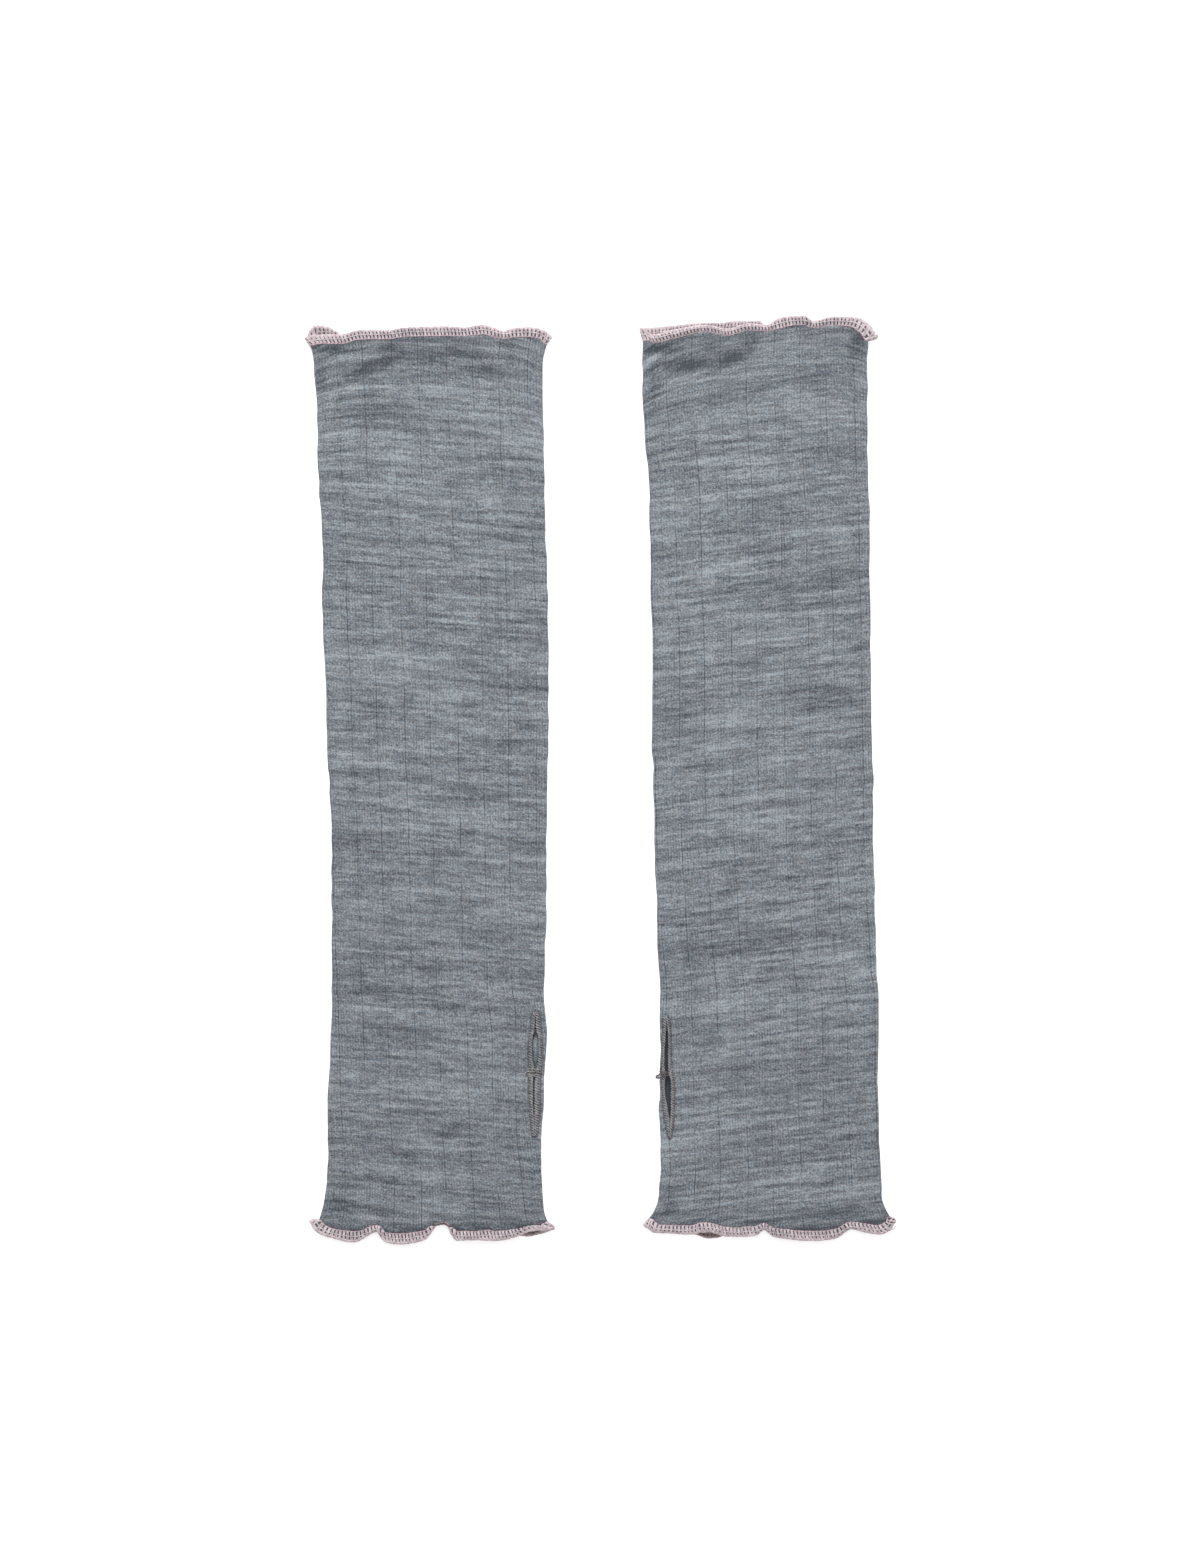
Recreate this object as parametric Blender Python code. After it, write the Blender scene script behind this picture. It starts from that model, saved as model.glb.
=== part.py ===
"""Pair of long wrist warmers, laid flat side by side.

Each warmer is one seamless tube of fine rib knit, pressed flat, so that an upper layer lies on
a lower one between two soft folds. Both ends carry a wavy overlocked hem. A thumb slit with
turned, stitched lips is cut in the upper layer beside the inner fold.

Metres, +Z up. +Y points to the arm ends and -Y to the hand ends. The origin is on the surface
that the pair lies on, under the middle of the pair. Left and right are as seen from above.
"""
from collections import namedtuple
from math import cos, exp, pi, sin, sqrt

import bmesh
import bpy

MM = 0.001

# Cloth and thread
WALL = 1.0 * MM  # knitted cloth
HEM_WALL = 1.4 * MM  # cloth with overlock thread above and below it
LIP_WALL = 1.0 * MM  # turned lip of the thumb slit
SEAM_GAP = 0.4 * MM  # measured along the tube, between a body and its hem
LAID_GAP = 0.3 * MM  # between the upper layer and a lip that lies on it

# The tube as it lies
FLAT_HEIGHT = 2.6 * MM  # two layers and the air between them
MOUTH_HEIGHT = 3.5 * MM  # the same at the ends, which stand open a little
FOLD_RADIUS = 1.3 * MM  # outer radius of a side fold, seen along the tube
WAVE_REACH = 16 * MM  # how far a hem's waves run into the cloth
FLARE_REACH = 5 * MM  # distance in which the cloth's spread falls to about a third

# Points round one ring of the tube
LAYER_POINTS = 29  # across each layer
CROWDING = 0.5  # 0 spaces them evenly, 1 crowds them most towards the folds
FOLD_POINTS = 3  # round each fold, between the layers

# Points round a thumb slit, on each side of it
SLIT_POINTS = 9

KNIT_GREY = (0.235, 0.258, 0.283, 1.0)
HEM_PINK = (0.56, 0.43, 0.46, 1.0)
LIP_TAUPE = (0.20, 0.19, 0.19, 1.0)

# Side folds of a tube, all in mm: how far along the tube, and where its two folds are.
Fold = namedtuple("Fold", "along left right")

# One place on a hem's wave. across: 0 at the left fold, 1 at the right one. seam and edge: how
# far the cloth and the thread edge reach past the end line. seam_lift and edge_lift: how far
# they are raised from where they would rest. mm, except across.
Wave = namedtuple("Wave", "across seam edge seam_lift edge_lift")

# How far a fold spreads sideways where the hem begins, and at the hem's edge. mm.
Flare = namedtuple("Flare", "seam edge")

# An end of a tube. line: the end line. outward: +1 if the end looks along +Y, else -1. left
# and right: the flares of its folds. upper and lower: the waves of the two layers, whose
# first and last rows reach equally far.
End = namedtuple("End", "line outward left right upper lower")

# One place along a thumb slit, in mm. stitched and open: half widths of the stitched outline
# and of the opening inside it.
Slit = namedtuple("Slit", "along centre stitched open")

LEFT_FOLDS = [
    Fold(-178, -110.8, -22.8),
    Fold(-160, -109.2, -23.8),
    Fold(-142, -108.8, -23.2),
    Fold(-118, -108.4, -21.9),
    Fold(-98, -107.4, -21.4),
    Fold(-82, -107.3, -22.5),
    Fold(-35, -107.4, -21.5),
    Fold(15, -108.9, -20.8),
    Fold(60, -110.5, -20.6),
    Fold(110, -111.9, -22.2),
    Fold(150, -113.1, -23.3),
    Fold(178, -114.6, -22.8),
]
RIGHT_FOLDS = [
    Fold(-178, 22.6, 113.6),
    Fold(-160, 24.2, 112.2),
    Fold(-142, 24.5, 111.7),
    Fold(-118, 24.0, 111.2),
    Fold(-98, 24.2, 111.3),
    Fold(-60, 22.6, 110.5),
    Fold(-10, 21.8, 109.1),
    Fold(50, 21.0, 107.8),
    Fold(105, 19.8, 107.7),
    Fold(140, 17.9, 106.8),
    Fold(178, 17.7, 106.8),
]

LEFT_ARM = End(
    line=176.0, outward=1, left=Flare(1.7, 3.8), right=Flare(1.6, 3.7),
    upper=[
        Wave(0.00, -2.4, 0.8, 1.0, 1.6),
        Wave(0.03, -1.9, 1.6, 0.9, 1.4),
        Wave(0.13, -1.4, 1.5, 0.5, 0.8),
        Wave(0.20, 0.1, 3.3, 0.9, 1.2),
        Wave(0.33, 0.5, 3.5, 0.9, 0.9),
        Wave(0.42, 1.4, 4.9, 1.4, 1.8),
        Wave(0.60, 1.5, 5.1, 1.1, 1.2),
        Wave(0.66, 1.7, 4.1, 0.8, 0.2),
        Wave(0.74, 2.3, 5.8, 1.3, 1.7),
        Wave(0.84, 0.7, 3.2, 0.7, 0.2),
        Wave(0.93, 0.9, 4.8, 1.2, 1.7),
        Wave(0.98, 0.2, 3.2, 1.1, 1.7),
        Wave(1.00, -1.4, 1.0, 1.0, 1.4),
    ],
    lower=[
        Wave(0.00, -2.4, 0.8, 0.4, 0.6),
        Wave(0.02, -0.9, 3.2, 0.4, 0.8),
        Wave(0.06, 1.2, 4.9, 0.4, 0.9),
        Wave(0.13, -0.4, 1.9, 0.0, 0.2),
        Wave(0.35, 0.2, 3.0, 0.0, 0.0),
        Wave(0.62, 0.6, 3.6, 0.1, 0.3),
        Wave(0.85, 0.2, 2.4, 0.0, 0.0),
        Wave(1.00, -1.4, 1.0, 0.4, 0.6),
    ],
)
LEFT_HAND = End(
    line=-177.5, outward=-1, left=Flare(0.8, 4.8), right=Flare(2.6, 5.2),
    upper=[
        Wave(0.00, -2.8, 0.2, 1.2, 2.4),
        Wave(0.02, -0.4, 4.2, 1.3, 2.2),
        Wave(0.06, 2.4, 5.8, 1.4, 1.9),
        Wave(0.15, 3.5, 7.4, 1.8, 2.0),
        Wave(0.25, 1.1, 3.2, 0.8, 0.2),
        Wave(0.29, 3.6, 7.4, 1.7, 2.1),
        Wave(0.35, 4.3, 8.4, 2.1, 2.4),
        Wave(0.46, 3.2, 6.9, 1.9, 1.8),
        Wave(0.55, -0.9, 0.5, 1.4, 0.1),
        Wave(0.61, 3.0, 6.8, 1.8, 2.0),
        Wave(0.69, 3.5, 6.6, 1.5, 1.4),
        Wave(0.77, 3.7, 7.4, 1.9, 2.3),
        Wave(0.90, 1.9, 4.2, 1.3, 1.7),
        Wave(1.00, -0.2, 1.9, 1.2, 1.8),
    ],
    lower=[
        Wave(0.00, -2.8, 0.2, 0.6, 0.9),
        Wave(0.15, 1.6, 5.0, 0.2, 0.5),
        Wave(0.25, -0.2, 2.8, 0.0, 0.0),
        Wave(0.35, 2.2, 5.4, 0.1, 0.2),
        Wave(0.55, -2.8, -0.2, 0.0, 0.0),
        Wave(0.75, 1.8, 5.2, 0.2, 0.5),
        Wave(0.93, 1.6, 4.9, 0.2, 0.5),
        Wave(1.00, -0.2, 1.9, 0.5, 0.8),
    ],
)
RIGHT_ARM = End(
    line=176.0, outward=1, left=Flare(0.3, 1.9), right=Flare(0.1, 4.4),
    upper=[
        Wave(0.00, -0.2, 3.9, 0.9, 1.4),
        Wave(0.04, -0.7, 1.7, 0.6, 0.6),
        Wave(0.12, 0.2, 2.8, 0.8, 0.8),
        Wave(0.27, 3.2, 4.9, 1.2, 0.9),
        Wave(0.37, 1.6, 3.6, 0.6, 0.2),
        Wave(0.47, 3.5, 5.4, 1.2, 1.0),
        Wave(0.55, 3.4, 5.2, 0.8, 0.3),
        Wave(0.61, 4.6, 8.0, 1.4, 1.5),
        Wave(0.66, 5.8, 9.4, 1.7, 2.2),
        Wave(0.72, 6.3, 9.5, 1.8, 2.4),
        Wave(0.76, 5.2, 7.2, 1.1, 0.6),
        Wave(0.85, 5.9, 9.1, 1.5, 1.9),
        Wave(0.93, 5.0, 8.8, 1.4, 1.9),
        Wave(0.98, 2.2, 5.2, 1.3, 2.0),
        Wave(1.00, 0.0, 1.0, 1.2, 2.0),
    ],
    lower=[
        Wave(0.00, -0.2, 3.9, 0.3, 0.5),
        Wave(0.10, 1.6, 4.8, 0.1, 0.3),
        Wave(0.27, 3.0, 6.6, 0.2, 0.5),
        Wave(0.35, 2.7, 6.0, 0.0, 0.1),
        Wave(0.39, 3.0, 6.8, 0.1, 0.3),
        Wave(0.49, 3.6, 7.1, 0.2, 0.4),
        Wave(0.55, 1.8, 4.8, 0.1, 0.2),
        Wave(0.72, 4.0, 6.4, 0.1, 0.3),
        Wave(0.90, 3.2, 6.2, 0.1, 0.3),
        Wave(1.00, 0.0, 1.0, 0.5, 0.8),
    ],
)
RIGHT_HAND = End(
    line=-177.5, outward=-1, left=Flare(3.6, 5.0), right=Flare(3.0, 5.0),
    upper=[
        Wave(0.00, -1.8, 0.8, 1.0, 1.8),
        Wave(0.03, 1.2, 3.4, 1.0, 1.2),
        Wave(0.14, 1.3, 4.4, 1.0, 1.0),
        Wave(0.20, 0.0, 2.9, 1.9, 2.7),
        Wave(0.27, 0.5, 3.4, 1.9, 2.5),
        Wave(0.42, 1.9, 5.6, 1.4, 1.6),
        Wave(0.47, 0.3, 2.3, 0.7, 0.2),
        Wave(0.52, 2.3, 5.2, 1.4, 1.5),
        Wave(0.70, 3.3, 6.9, 1.8, 2.2),
        Wave(0.79, 2.6, 5.6, 1.4, 1.4),
        Wave(0.87, 0.3, 2.3, 0.7, 0.2),
        Wave(0.94, 1.1, 4.4, 1.2, 1.6),
        Wave(0.99, -0.4, 2.0, 1.2, 2.0),
        Wave(1.00, -2.2, -0.6, 1.2, 2.2),
    ],
    lower=[
        Wave(0.00, -1.8, 0.8, 0.5, 0.8),
        Wave(0.10, 0.8, 3.6, 0.1, 0.3),
        Wave(0.21, 2.2, 5.9, 0.2, 0.4),
        Wave(0.33, 1.8, 5.2, 0.1, 0.2),
        Wave(0.47, -0.8, 2.0, 0.0, 0.0),
        Wave(0.70, 2.0, 5.4, 0.2, 0.5),
        Wave(0.87, -0.8, 1.9, 0.0, 0.0),
        Wave(1.00, -2.2, -0.6, 0.6, 1.0),
    ],
)

LEFT_SLIT = [
    Slit(-141.6, -26.2, 0.0, 0.0),
    Slit(-134.0, -26.3, 1.9, 0.6),
    Slit(-121.0, -26.4, 2.3, 0.9),
    Slit(-108.0, -26.0, 2.7, 1.3),
    Slit(-98.0, -25.8, 2.6, 1.0),
    Slit(-92.8, -25.5, 0.0, 0.0),
]
RIGHT_SLIT = [
    Slit(-143.9, 28.0, 0.0, 0.0),
    Slit(-134.0, 27.8, 1.9, 0.8),
    Slit(-124.0, 27.4, 2.5, 1.3),
    Slit(-108.0, 26.9, 2.2, 0.9),
    Slit(-98.0, 26.8, 1.8, 0.7),
    Slit(-93.6, 26.6, 0.0, 0.0),
]
OPENING_INSET = 5.5 * MM  # how far the opening stops short of each end of the stitching
LIP_OVERLAP = 0.3 * MM  # how far a lip reaches past the cut edge of the cloth under it

# Rings of a body: distances in from each end line, and places along the straight stretch.
RINGS_IN_FROM_END = [4 * MM, 9 * MM, WAVE_REACH]
RINGS_BETWEEN = [-142 * MM, -118 * MM, -98 * MM, -60 * MM, 0.0, 60 * MM, 115 * MM, 145 * MM]


def curve_through(rows, column):
    """Return a function that runs smoothly through one column of a table, with no overshoot."""
    xs = [row[0] for row in rows]
    ys = [getattr(row, column) for row in rows]
    steps = [(y1 - y0) / (x1 - x0) for x0, x1, y0, y1 in zip(xs, xs[1:], ys, ys[1:])]
    inner = [0.0 if a * b <= 0 else 2 * a * b / (a + b) for a, b in zip(steps, steps[1:])]
    slopes = [steps[0]] + inner + [steps[-1]]

    def value(x):
        x = min(max(x, xs[0]), xs[-1])
        i = max(k for k in range(len(xs) - 1) if xs[k] <= x)
        width = xs[i + 1] - xs[i]
        t = (x - xs[i]) / width
        hump = slopes[i] * (1 - t) - slopes[i + 1] * t
        return ys[i] * (1 - t) + ys[i + 1] * t + t * (1 - t) * (
            width * hump + (2 * t - 1) * (ys[i + 1] - ys[i])
        )

    return value


def mix(a, b, t):
    return a + (b - a) * t


class Tube:
    """The shape of one warmer: where any point of its skin lies."""

    def __init__(self, folds, hand, arm):
        self.left_fold = curve_through(folds, "left")
        self.right_fold = curve_through(folds, "right")
        self.ends = (hand, arm)
        self.waves = {
            (end.outward, layer, column): curve_through(getattr(end, layer), column)
            for end in self.ends
            for layer in ("upper", "lower")
            for column in Wave._fields[1:]
        }

    def folds_at(self, along):
        return self.left_fold(along / MM) * MM, self.right_fold(along / MM) * MM

    def wave(self, end, layer, column, across):
        return self.waves[end.outward, layer, column](across) * MM

    def spread(self, end, across, column):
        """Sideways lean of the cloth at a hem's seam or edge, strongest at the folds."""
        to_left = getattr(end.left, column) * (1 - across) ** 4
        to_right = getattr(end.right, column) * across**4
        return (to_right - to_left) * MM

    def upper_skin(self, x, along):
        """Height of the top of the straight stretch, over a place in plan."""
        left, right = self.folds_at(along)
        past = max(left + FOLD_RADIUS - x, x - right + FOLD_RADIUS, 0.0)
        drop = FOLD_RADIUS - sqrt(max(FOLD_RADIUS**2 - past**2, 0.0))
        return FLAT_HEIGHT - drop


def places_round_a_ring():
    """Yield how far across each point sits, its height from -1 to 1, and its turn outwards."""
    even = [i / (LAYER_POINTS - 1) for i in range(LAYER_POINTS)]
    steps = [mix(t, (1 - cos(pi * t)) / 2, CROWDING) for t in even]
    turns = [pi * k / (FOLD_POINTS + 1) for k in range(1, FOLD_POINTS + 1)]
    for across in steps:
        yield across, 1.0, 0.0
    for turn in turns:
        yield 1.0, cos(turn), sin(turn)
    for across in reversed(steps):
        yield across, -1.0, 0.0
    for turn in turns:
        yield 0.0, -cos(turn), -sin(turn)


def ring(tube, inset, height, along, placed):
    """Points round the tube, moved in from its skin by inset.

    placed(layer, across) gives how far a point is moved along, sideways and up.
    """
    left, right = tube.folds_at(along)
    points = []
    for across, up, out in places_round_a_ring():
        moves = {layer: placed(layer, across) for layer in ("upper", "lower")}
        layer = "upper" if up > 0 or (up == 0 and out > 0) else "lower"
        shift, lean, _ = moves[layer]
        top = height + moves["upper"][2] - inset
        bottom = moves["lower"][2] + inset
        x = mix(left + FOLD_RADIUS, right - FOLD_RADIUS, across) + out * (FOLD_RADIUS - inset)
        points.append((x + lean, along + shift, mix(bottom, top, (up + 1) / 2)))
    return points


def body_ring(tube, along, inset):
    """A ring of the knitted body, where the waves of the nearer hem fade with distance."""
    hand, arm = tube.ends
    end = arm if along > 0 else hand
    inwards = max((end.line * MM - along) * end.outward, 0.0)
    fade = max(1 - inwards / WAVE_REACH, 0.0) ** 2
    flare = exp(-inwards / FLARE_REACH)

    def placed(layer, across):
        shift = tube.wave(end, layer, "seam", across) * fade * end.outward
        lift = tube.wave(end, layer, "seam_lift", across) * fade
        return shift, tube.spread(end, across, "seam") * flare, lift

    return ring(tube, inset, mix(FLAT_HEIGHT, MOUTH_HEIGHT, fade), along, placed)


def hem_ring(tube, end, column, beyond, inset):
    """A ring of a hem, at its seam or at its edge, moved out along the tube by beyond."""

    def placed(layer, across):
        shift = (tube.wave(end, layer, column, across) + beyond) * end.outward
        lift = tube.wave(end, layer, column + "_lift", across)
        return shift, tube.spread(end, across, column), lift

    return ring(tube, inset, MOUTH_HEIGHT, end.line * MM, placed)


def fabric(name, colour, roughness):
    material = bpy.data.materials.new(name)
    material.use_nodes = True
    shader = material.node_tree.nodes["Principled BSDF"]
    shader.inputs["Base Color"].default_value = colour
    shader.inputs["Roughness"].default_value = roughness
    shader.inputs["Metallic"].default_value = 0.0
    return material


def finish_object(name, bm, material, collection):
    """Make a named object of a closed mesh, with its faces outwards and shaded smooth."""
    bmesh.ops.recalc_face_normals(bm, faces=bm.faces)
    mesh = bpy.data.meshes.new(name)
    bm.to_mesh(mesh)
    bm.free()
    mesh.materials.append(material)
    mesh.shade_smooth()
    mesh.set_sharp_from_angle(angle=pi / 4)
    obj = bpy.data.objects.new(name, mesh)
    collection.objects.link(obj)
    return obj


def loft_wall(name, skins, linings, material, collection):
    """Close a wall between the rings of its skin and the rings of its lining."""
    bm = bmesh.new()
    loop = [*skins, *reversed(linings)]
    rings = [[bm.verts.new(point) for point in points] for points in loop]
    for here, there in zip(rings, rings[1:] + rings[:1]):
        for i in range(len(here)):
            j = (i + 1) % len(here)
            bm.faces.new((here[i], here[j], there[j], there[i]))
    return finish_object(name, bm, material, collection)


def make_body(name, tube, material, collection):
    hand, arm = tube.ends
    half_gap = SEAM_GAP / 2
    near_hand = [hand.line * MM + step for step in [half_gap, *RINGS_IN_FROM_END]]
    near_arm = [arm.line * MM - step for step in [half_gap, *RINGS_IN_FROM_END]]
    stations = near_hand + RINGS_BETWEEN + near_arm[::-1]
    skins = [body_ring(tube, along, 0.0) for along in stations]
    linings = [body_ring(tube, along, WALL) for along in stations]
    return loft_wall(name, skins, linings, material, collection)


def make_hem(name, tube, end, material, collection):
    half_gap = SEAM_GAP / 2
    rows = [("seam", half_gap), ("edge", 0.0)]
    skins = [hem_ring(tube, end, column, beyond, 0.0) for column, beyond in rows]
    linings = [hem_ring(tube, end, column, beyond, HEM_WALL) for column, beyond in rows]
    return loft_wall(name, skins, linings, material, collection)


def slit_outline(slit, column, inset_ends, wider):
    """Plan points round a slit: up its right side and down its left one."""
    centre = curve_through(slit, "centre")
    half_width = curve_through(slit, column)
    first = slit[0].along * MM + inset_ends
    last = slit[-1].along * MM - inset_ends
    points = []
    for side in (1, -1):
        for i in range(SLIT_POINTS):
            turn = pi * i / SLIT_POINTS
            along = mix(first, last, (1 - side * cos(turn)) / 2)
            tapered = (half_width(along / MM) * MM + wider) * min(1.0, 1.6 * sin(turn))
            points.append(((centre(along / MM)) * MM + side * tapered, along))
    return points


def make_slit_cutter(name, slit, collection):
    """A prism through the upper layer only, standing in the air between the layers."""
    floor = FLAT_HEIGHT / 2
    top = FLAT_HEIGHT + WALL
    outline = slit_outline(slit, "open", OPENING_INSET, LIP_OVERLAP)
    bm = bmesh.new()
    base = bm.faces.new([bm.verts.new((x, y, floor)) for x, y in outline])
    raised = bmesh.ops.extrude_face_region(bm, geom=[base])["geom"]
    corners = [item for item in raised if isinstance(item, bmesh.types.BMVert)]
    bmesh.ops.translate(bm, verts=corners, vec=(0, 0, top - floor))
    bmesh.ops.recalc_face_normals(bm, faces=bm.faces)
    mesh = bpy.data.meshes.new(name)
    bm.to_mesh(mesh)
    bm.free()
    cutter = bpy.data.objects.new(name, mesh)
    cutter.hide_render = True
    cutter.display_type = "WIRE"
    collection.objects.link(cutter)
    return cutter


def cut_slit(body, cutter):
    cut = body.modifiers.new("thumb slit", "BOOLEAN")
    cut.operation = "DIFFERENCE"
    cut.solver = "EXACT"
    cut.object = cutter


def make_binding(name, tube, slit, material, collection):
    """The stitched lips round a slit, laid on the upper layer and following its skin."""

    def laid(outline, lift):
        return [(x, y, tube.upper_skin(x, y) + lift) for x, y in outline]

    stitched = slit_outline(slit, "stitched", 0.0, 0.0)
    opening = slit_outline(slit, "open", OPENING_INSET, 0.0)
    low, high = LAID_GAP, LAID_GAP + LIP_WALL
    skins = [laid(stitched, low), laid(stitched, high)]
    linings = [laid(opening, low), laid(opening, high)]
    return loft_wall(name, skins, linings, material, collection)


def main():
    for old in list(bpy.data.objects):
        bpy.data.objects.remove(old, do_unlink=True)
    pair = bpy.data.collections.new("pair_of_wrist_warmers")
    cutters = bpy.data.collections.new("cutters")
    bpy.context.scene.collection.children.link(pair)
    bpy.context.scene.collection.children.link(cutters)

    warmers = {
        "left": (Tube(LEFT_FOLDS, LEFT_HAND, LEFT_ARM), LEFT_SLIT),
        "right": (Tube(RIGHT_FOLDS, RIGHT_HAND, RIGHT_ARM), RIGHT_SLIT),
    }
    for side, (tube, slit) in warmers.items():
        hand, arm = tube.ends
        knit = fabric(side + "_knit", KNIT_GREY, 0.9)
        body = make_body(side + "_body", tube, knit, pair)
        cut_slit(body, make_slit_cutter(side + "_slit_cutter", slit, cutters))
        for place, end in (("hand", hand), ("arm", arm)):
            thread = fabric(side + "_" + place + "_thread", HEM_PINK, 0.7)
            make_hem(side + "_" + place + "_hem", tube, end, thread, pair)
        lips = fabric(side + "_lips", LIP_TAUPE, 0.8)
        make_binding(side + "_thumb_binding", tube, slit, lips, pair)


main()
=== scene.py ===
"""Looks of a pair of long wrist warmers that lie flat, side by side, on a pale floor.

Each warmer is a seamless tube of fine rib knit in heather grey wool, pressed flat. Both ends
are overlocked with pale pink thread, which stretches them into waves. A thumb slit beside the
inner fold has turned lips that are overstitched in taupe.

Tables and sizes are in millimetres, as in the CAD source, and meshes turn to metres when they
are made. +Y points to the arm ends and -Y to the hand ends. A place round a tube is counted in
ribs: from the left fold over the upper layer, round the right fold and back under the tube.
"""
from collections import namedtuple
from math import cos, pi, radians, sin, tan

import bpy
import numpy as np
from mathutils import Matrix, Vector

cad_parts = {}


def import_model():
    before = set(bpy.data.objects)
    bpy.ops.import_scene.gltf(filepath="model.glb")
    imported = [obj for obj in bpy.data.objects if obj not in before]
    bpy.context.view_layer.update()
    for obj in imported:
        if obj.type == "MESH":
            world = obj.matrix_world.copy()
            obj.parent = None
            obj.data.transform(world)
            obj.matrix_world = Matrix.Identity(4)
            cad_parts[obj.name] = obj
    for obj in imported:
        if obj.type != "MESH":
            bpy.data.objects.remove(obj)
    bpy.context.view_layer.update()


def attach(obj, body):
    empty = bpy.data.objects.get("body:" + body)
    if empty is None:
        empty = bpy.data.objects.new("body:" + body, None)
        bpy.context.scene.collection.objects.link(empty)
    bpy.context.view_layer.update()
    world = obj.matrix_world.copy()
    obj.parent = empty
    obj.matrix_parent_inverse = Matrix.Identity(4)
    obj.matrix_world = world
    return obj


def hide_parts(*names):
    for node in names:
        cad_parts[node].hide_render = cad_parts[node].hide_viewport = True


MM = 0.001

# Cloth
WALL = 1.0  # knitted cloth
HEM_CLOTH = 0.5  # the same, squeezed inside the overlock stitch
HEM_WALL = 1.4  # squeezed cloth with thread above and below it
HEM_REST = 0.95  # from the floor to the middle of a hem's wall, over the stitches under it
FLAT_HEIGHT = 2.6  # two layers and the air between them
MOUTH_HEIGHT = 3.5  # the same at the ends, which stand open a little
FOLD_RADIUS = 1.3
FOLD_WOBBLE = 0.3  # the folds aren't quite straight
WAVE_REACH = 16.0  # how far a hem's waves run into the cloth
FLARE_REACH = 5.0  # distance in which the cloth's spread falls to about a third
SEAM_SPREAD, EDGE_SPREAD = 4, 10  # powers: the higher, the closer to a fold the spread stays

# How the upper layer bulges
MEAN_RISE = 0.3
BROAD_RISE, BROAD_SIZE = 0.28, (38, 52)
SMALL_RISE, SMALL_SIZE = 0.12, (15, 19)
FOLD_SPRING = 0.35  # extra rise beside the folds
SPRING_FROM, SPRING_REACH = 2.0, 5.0
CALM_BY_HEM = 14.0  # over this length the bulges rise from nothing at a hem
CREASES_BY_HEM = 4.0  # the same for the creases

# Ribs
RIBS_ACROSS = 77  # on each layer
RIBS_ROUND_FOLD = 3
RIBS = 2 * (RIBS_ACROSS + RIBS_ROUND_FOLD)
RIB_DEPTH = 0.17
FLATTENED = 0.35  # share of the ribs' depth that is left in a hem
NEEDLE_LINES = 17  # wider grooves round the tube, where a needle was left out
FIRST_NEEDLE_LINE = 7  # ribs from the left fold
NEEDLE_LINE_DEPTH = 0.12

# Thumb slits
LIP_HIDES = 0.4  # how far the turned lip reaches in over the cut edge of the cloth
BOW_REACH = 16.0  # how far past the slit's ends its pull on the ribs is felt
PARTED_RIBS = 4.0  # how many ribs beside it feel it open
SHIFTED_RIBS = 9.0  # how many feel it sit off their line
TOPSTITCH = 1.9  # length of one stitch
WHIPSTITCH = 1.05
SLIT_THREAD_RADIUS = 0.18

# Overlock stitch
STITCHES = 134  # round each end, a few less than the real ones so that each shows
BAND = 3.5  # from the needle line to the thread edge
THREAD_RADIUS = 0.21
SAGGING = 1.3  # how soon a hem that hangs down sags in place of crowning
MOST_SAG = -0.3  # share of the crown
ASIDE = 0.4  # ribs to each side of a place, to find which way the hem faces there

SIDES = ("left", "right")


def table(kind, *rows):
    return [kind(*row) for row in rows]


# Side folds of a tube: how far along it, and where its two folds are.
Fold = namedtuple("Fold", "along left right")

# One place on a hem's wave. across: 0 at the left fold, 1 at the right one. seam and edge: how
# far the cloth and the thread edge reach past the end line. seam_lift and edge_lift: how far
# they are raised from where they would rest.
Wave = namedtuple("Wave", "across seam edge seam_lift edge_lift")

# How far a fold spreads sideways where the hem begins, and at the hem's edge.
Flare = namedtuple("Flare", "seam edge")

# An end of a tube. line: the end line. outward: +1 if the end looks along +Y, else -1.
End = namedtuple("End", "name line outward left right upper lower")

# How far the ribs have wandered round the tube, in ribs.
Twist = namedtuple("Twist", "along ribs")

# One place along a thumb slit, and where its two sides are.
Slit = namedtuple("Slit", "along left right")

LEFT_FOLDS = table(
    Fold,
    (-178, -110.8, -22.8), (-166, -110, -23.2), (-150, -109, -23.4), (-130, -109.4, -22.6),
    (-118, -108.7, -22.1), (-98, -107.9, -21.2), (-86, -107.4, -22.3), (-58, -107.4, -21.6),
    (-35, -107.5, -21.3), (-10, -108, -21.1), (15, -109.2, -20.7), (45, -110.1, -20.7),
    (72, -111.3, -20.8), (88, -110.7, -21.3), (105, -111.7, -21.8), (122, -112.7, -22.2),
    (150, -113.4, -22.8), (164, -114.2, -23.1), (178, -114.7, -22.8),
)
RIGHT_FOLDS = table(
    Fold,
    (-178, 22.6, 113.6), (-166, 23.8, 112.6), (-150, 24.3, 112.2), (-130, 23.6, 111.6),
    (-118, 24, 111.3), (-90, 24.1, 111.5), (-70, 23, 110.7), (-46, 22.5, 110), (-22, 21.7, 109.3),
    (3, 21.3, 109.5), (15, 20.7, 108.6), (45, 20.9, 108.3), (75, 20.3, 108.2), (105, 19.9, 108),
    (120, 19.5, 107.7), (135, 18.2, 107.2), (150, 17.1, 106.9), (162, 17, 107.3),
    (178, 17.8, 106.9),
)

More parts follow.
